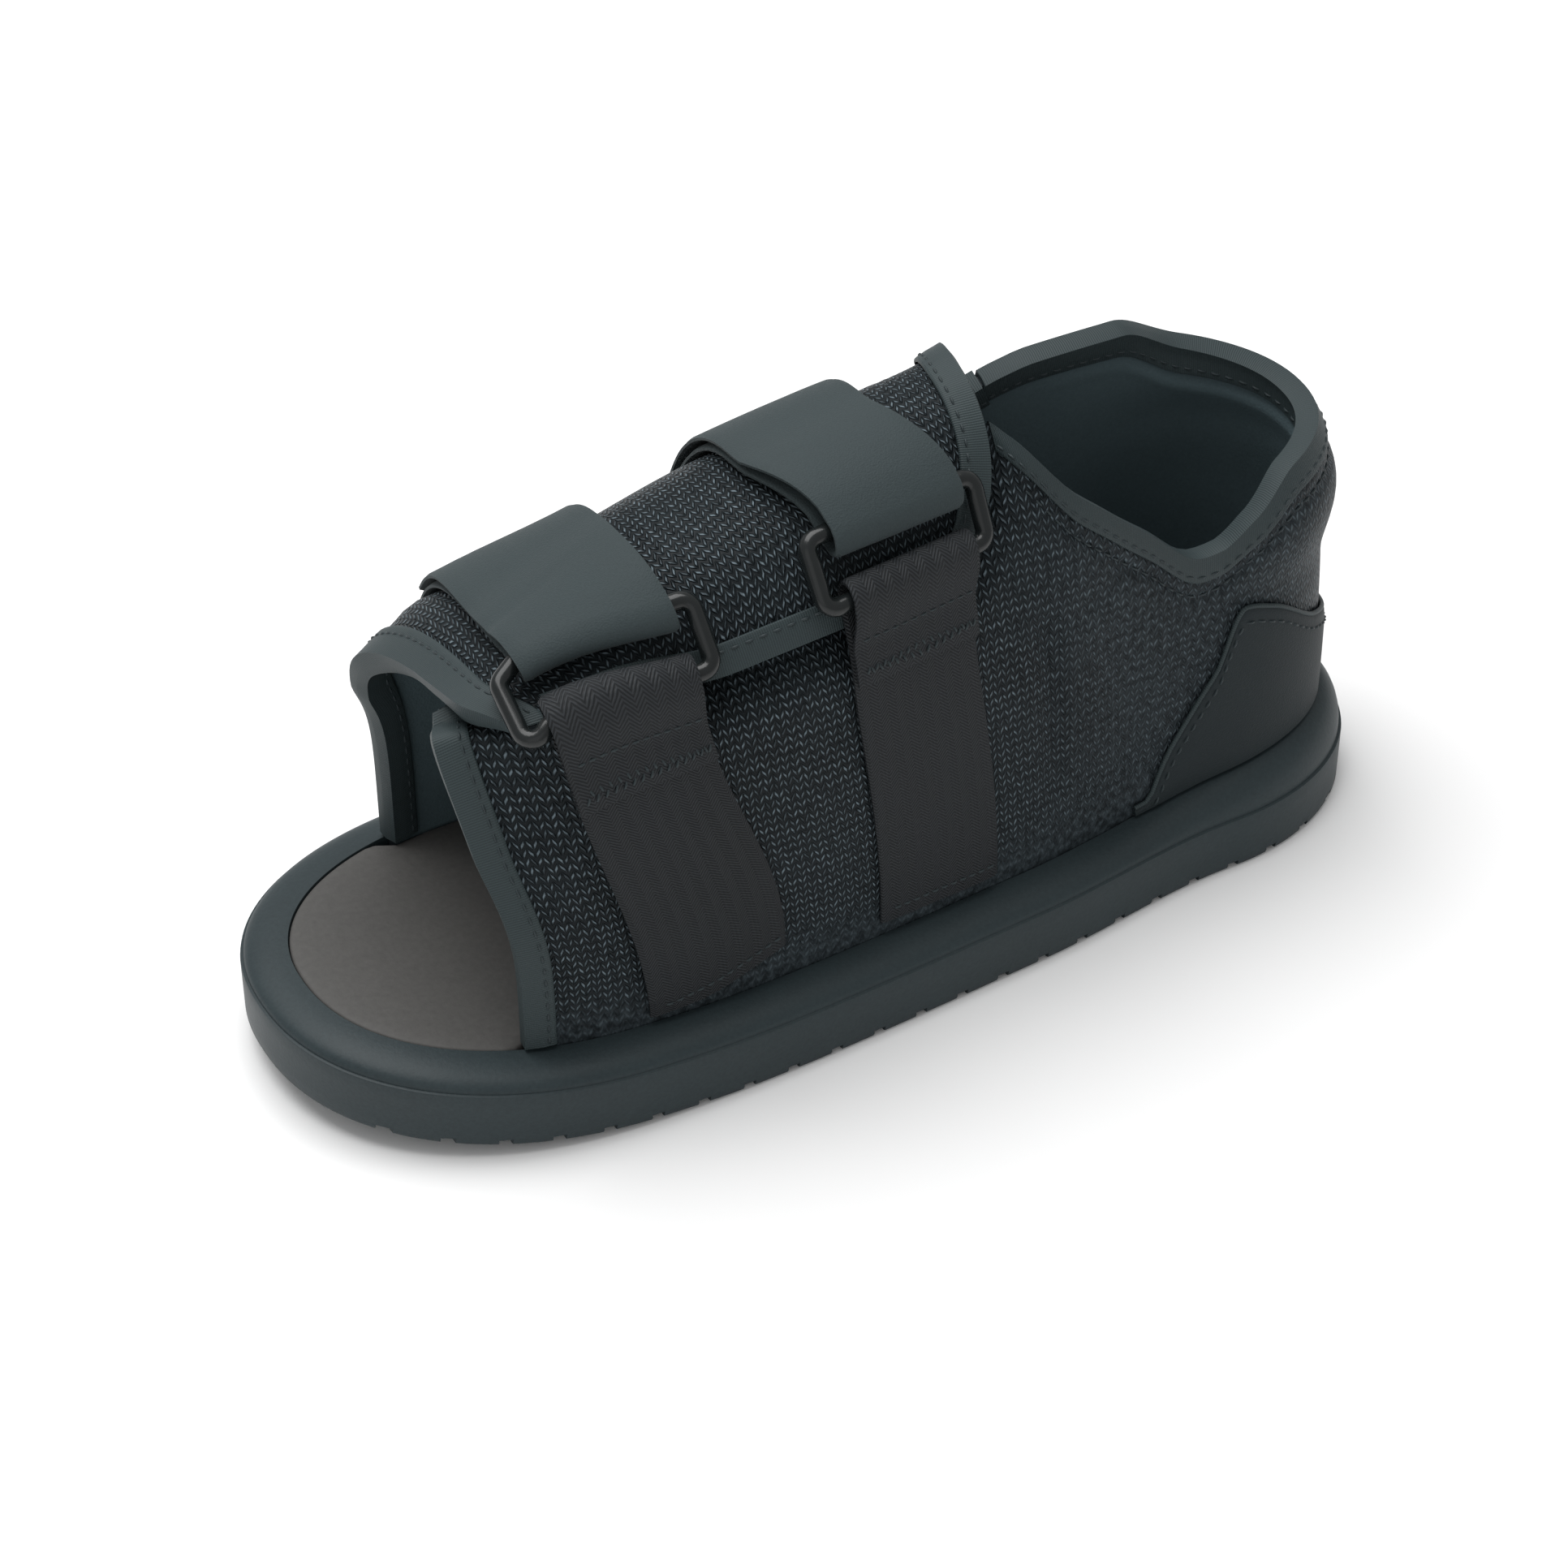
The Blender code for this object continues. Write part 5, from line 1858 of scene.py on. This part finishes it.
    def build(self, shop: Workshop) -> None:
        """Makes the webbing, the ring and the strap.

        Args:
            shop: Maker of the pieces.
        """
        self.webbing(shop)
        self.ring(shop)
        self.strap(shop)


@dataclass(eq=False)
class SoleUnit:
    """Foam sole with a rolled rim and a grooved tread, and the sock insole in its recess."""

    last: Last
    crease: float = 15.0 * MM
    lip: float = 0.75 * MM
    bevel: float = 1.2 * MM
    groove_pitch: float = 11.6 * MM
    groove_width: float = 3.0 * MM
    groove_depth: float = 1.8 * MM
    insole_gap: float = 0.6 * MM
    wall: float = 3.0 * MM
    draft: float = 0.1 * MM
    recess_step: float = 2.4 * MM

    # How far each level of the insole is drawn in, and its height over the rim, in millimetres
    INSOLE_LEVELS = (
        (0.0, -0.7), (0.25, -0.2), (0.8, 0.0), (2.5, 0.15), (6.0, 0.25), (12.0, 0.2), (20.0, 0.0))

    def ring(
            self, inset: Callable[[float], float], height: Callable[[float], float],
            count: int = 120) -> list[Vector]:
        """Outline at one level.

        Args:
            inset: How far it is drawn in at x.
            height: Its height at x, above the sole's lower face.
            count: Number of steps from heel to toe.

        Returns:
            Its points: the left side from heel to toe, then the right side back.
        """
        last = self.last
        left, right = [], []
        for k in range(count + 1):
            full = -last.length / 2 * math.cos(math.pi * k / count)
            x = full
            for _ in range(4):
                x = full * (1 - 2 * inset(x) / last.length)
            drawn, z, middle = inset(x), height(x) + last.spring(x), last.sway(x)
            left.append(Vector((x, middle + last.half_width(x, drawn), z)))
            right.append(Vector((x, middle - last.half_width(x, drawn, True), z)))
        return left + right[-2:0:-1]

    def stack(
            self, shop: Workshop, name: str, rings: Sequence[Sequence[Vector]], finish: Finish,
            node: str, sharp: float) -> bpy.types.Object:
        """Solid from outlines that lie over one another.

        Args:
            shop: Maker of the pieces.
            name: Name of the solid.
            rings: The outlines from the bottom up.
            finish: Its material.
            node: CAD node that it stands for.
            sharp: Edges that turn by more degrees than this stay crisp.

        Returns:
            The new object.
        """
        size = len(rings[0])
        points = [p for ring in rings for p in ring]
        faces = []
        for k in range(len(rings) - 1):
            for i in range(size):
                a, b = k * size + i, k * size + (i + 1) % size
                faces.append([a, b, b + size, a + size])
        for start in (0, (len(rings) - 1) * size):
            for i in range(size // 2):
                corners = [i, i + 1, (size - i - 1) % size, (size - i) % size]
                faces.append([start + v for v in dict.fromkeys(corners)])
        cloth = [(p.x, p.y) for p in points]
        return shop.piece(name, points, faces, [finish], cloth, replaces=(node,), sharp=sharp)

    def sole(self, shop: Workshop) -> None:
        """Makes the foam sole.

        Args:
            shop: Maker of the pieces.
        """
        last = self.last
        bevel, crease = self.bevel, self.crease

        def side(inset: float, height: float) -> list[Vector]:
            """Level of the upright side."""
            return self.ring(lambda x: inset, lambda x: height)

        def shoulder(turn: float) -> list[Vector]:
            """Level of the rounded shoulder.

            Args:
                turn: Angle up from the crease.

            Returns:
                The outline at that level.
            """
            rise, way = math.sin(turn), 1 - math.cos(turn)
            return self.ring(
                lambda x: self.lip + (last.rim_inset_at(x) - self.lip) * way,
                lambda x: blend(crease, last.rim_at(x), rise))

        rings = [side(bevel, 0.0), side(0.3 * bevel, 0.25 * bevel), side(0.0, bevel)]
        rings += [side(0.0, blend(bevel, crease - 0.8 * MM, t)) for t in (0.25, 0.5, 0.75, 1.0)]
        rings += [side(0.12 * MM, crease - 0.25 * MM), side(self.lip, crease - 0.1 * MM)]
        rings += [shoulder(math.radians(turn)) for turn in (8, 18, 28, 38, 48, 58, 68, 79, 90)]
        rings += [
            self.ring(lambda x: last.rim_inset_at(x) + self.draft, lambda x, z=height: z)
            for height in (last.deck + self.recess_step, last.deck)]
        sole = self.stack(shop, "foam_sole", rings, EVA_SOLE, "sole", 38.0)
        cutter = self.grooves()
        cut = sole.modifiers.new("grooves", "BOOLEAN")
        cut.operation = "DIFFERENCE"
        cut.solver = "EXACT"
        cut.object = cutter
        bpy.context.view_layer.update()
        graph = bpy.context.evaluated_depsgraph_get()
        mesh = bpy.data.meshes.new_from_object(sole.evaluated_get(graph))
        sole.modifiers.clear()
        sole.data = mesh
        bpy.data.objects.remove(cutter, do_unlink=True)

    def grooves(self) -> bpy.types.Object:
        """Cross grooves of the tread.

        Returns:
            One cutter with a box for each groove.
        """
        last = self.last
        count = int((last.length - self.groove_pitch) / self.groove_pitch)
        shape = bmesh.new()
        for k in range(count):
            x = (k - (count - 1) / 2) * self.groove_pitch
            box = bmesh.ops.create_cube(shape, size=1.0)["verts"]
            low, high = -10 * MM, last.spring(x) + self.groove_depth
            size = (self.groove_width, 2 * last.ball_width, high - low)
            bmesh.ops.scale(shape, verts=box, vec=size)
            bmesh.ops.translate(shape, verts=box, vec=(x, 0, (low + high) / 2))
        mesh = bpy.data.meshes.new("groove_cutter")
        shape.to_mesh(mesh)
        shape.free()
        cutter = bpy.data.objects.new("groove_cutter", mesh)
        bpy.context.scene.collection.objects.link(cutter)
        return cutter

    def insole(self, shop: Workshop) -> None:
        """Makes the insole, slightly crowned.

        Args:
            shop: Maker of the pieces.
        """
        last = self.last

        def inset(x: float) -> float:
            """Distance from the sole's outline, more inside the upper's wall."""
            inside = ease((0.343 * last.length - x) / (0.0105 * last.length))
            return last.rim_inset_at(x) + last.gap + (self.wall + self.insole_gap) * inside

        rings = [self.ring(inset, lambda x: last.deck + last.gap)]
        rings += [
            self.ring(lambda x, e=extra: inset(x) + e * MM, lambda x, z=over: last.rim + z * MM)
            for extra, over in self.INSOLE_LEVELS]
        self.stack(shop, "sock_insole", rings, FOAM_SOCK, "insole", 50.0)

    def build(self, shop: Workshop) -> None:
        """Makes the sole and the insole."""
        self.sole(shop)
        self.insole(shop)


@dataclass(frozen=True)
class Studio:
    """Pale floor, soft light and the camera of the photograph."""

    target: tuple[float, float, float] = (0.0096, 0.0015, 0.0366)
    azimuth: float = 27.585
    elevation: float = 39.0
    distance: float = 0.938
    lens: float = 91.95
    floor_colour: str = "FDFDFD"
    floor_reach: float = 6.0
    key_place: tuple[float, float, float] = (0.14, -0.30, 1.12)
    key_size: float = 1.0
    key_power: float = 14.0
    front_place: tuple[float, float, float] = (0.75, 0.85, 0.55)
    front_size: float = 0.9
    front_power: float = 0.98
    fill: float = 0.46

    def lamp(
            self, name: str, place: tuple[float, float, float], size: float, power: float) -> None:
        """Adds a square area light that points at the shoe.

        Args:
            name: Its name.
            place: Its place in metres.
            size: Length of its side.
            power: Its power in watts.
        """
        data = bpy.data.lights.new(name, "AREA")
        data.size, data.energy = size, power
        item = bpy.data.objects.new(name, data)
        item.location = place
        item.rotation_mode = "QUATERNION"
        item.rotation_quaternion = (Vector(self.target) - Vector(place)).to_track_quat("-Z", "Y")
        bpy.context.scene.collection.objects.link(item)

    def floor(self) -> None:
        """Adds the floor."""
        half = self.floor_reach
        mesh = bpy.data.meshes.new("floor")
        corners = [(-half, -half, 0), (half, -half, 0), (half, half, 0), (-half, half, 0)]
        mesh.from_pydata(corners, [], [[0, 1, 2, 3]])
        item = bpy.data.objects.new("floor", mesh)
        bpy.context.scene.collection.objects.link(item)
        material = bpy.data.materials.new("matte_white_paper")
        material.use_nodes = True
        shader = material.node_tree.nodes["Principled BSDF"]
        shader.inputs["Base Color"].default_value = linear(self.floor_colour)
        shader.inputs["Roughness"].default_value = 0.95
        mesh.materials.append(material)

    def build(self) -> None:
        """Sets up the floor, the lights, the world and the camera."""
        self.floor()
        self.lamp("overhead_softbox", self.key_place, self.key_size, self.key_power)
        self.lamp("front_softbox", self.front_place, self.front_size, self.front_power)
        world = bpy.data.worlds.new("studio")
        world.use_nodes = True
        shade = world.node_tree.nodes["Background"]
        shade.inputs["Color"].default_value = (1.0, 1.0, 1.0, 1.0)
        shade.inputs["Strength"].default_value = self.fill
        bpy.context.scene.world = world
        turn, rise = math.radians(self.azimuth), math.radians(self.elevation)
        back = Vector((
            math.sin(turn) * math.cos(rise), math.cos(turn) * math.cos(rise), math.sin(rise)))
        data = bpy.data.cameras.new("photo_camera")
        data.lens, data.sensor_width = self.lens, 36.0
        data.clip_start, data.clip_end = 0.05, 50.0
        camera = bpy.data.objects.new("photo_camera", data)
        camera.location = Vector(self.target) + back * self.distance
        camera.rotation_mode = "QUATERNION"
        camera.rotation_quaternion = (-back).to_track_quat("-Z", "Y")
        bpy.context.scene.collection.objects.link(camera)
        bpy.context.scene.camera = camera
        bpy.context.scene.view_settings.view_transform = "Standard"


def main() -> None:
    """Builds the shoe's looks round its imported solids."""
    logging.basicConfig(level=logging.INFO, format="%(name)s: %(message)s")
    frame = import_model()
    LOG.info("loaded %s", type(frame).__name__)
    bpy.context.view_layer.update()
    last, shop = Last(), Workshop()
    shell = Shell(last)
    shell.build(shop)
    Bindings(shell).build(shop)
    HeelCounter(shell).build(shop)
    Closure(
        last, "front", ring_x=0.230, toe_mid=68, heel_mid=60, foot=0.172, foot_width=34.5 * MM,
        far=0.225, ridge=0.232).build(shop)
    Closure(
        last, "rear", ring_x=-0.014, toe_mid=58, heel_mid=57, foot=-0.036, foot_width=32.5 * MM,
        far=0.026, ridge=0.012).build(shop)
    SoleUnit(last).build(shop)
    Studio().build()


if __name__ == "__main__":
    main()
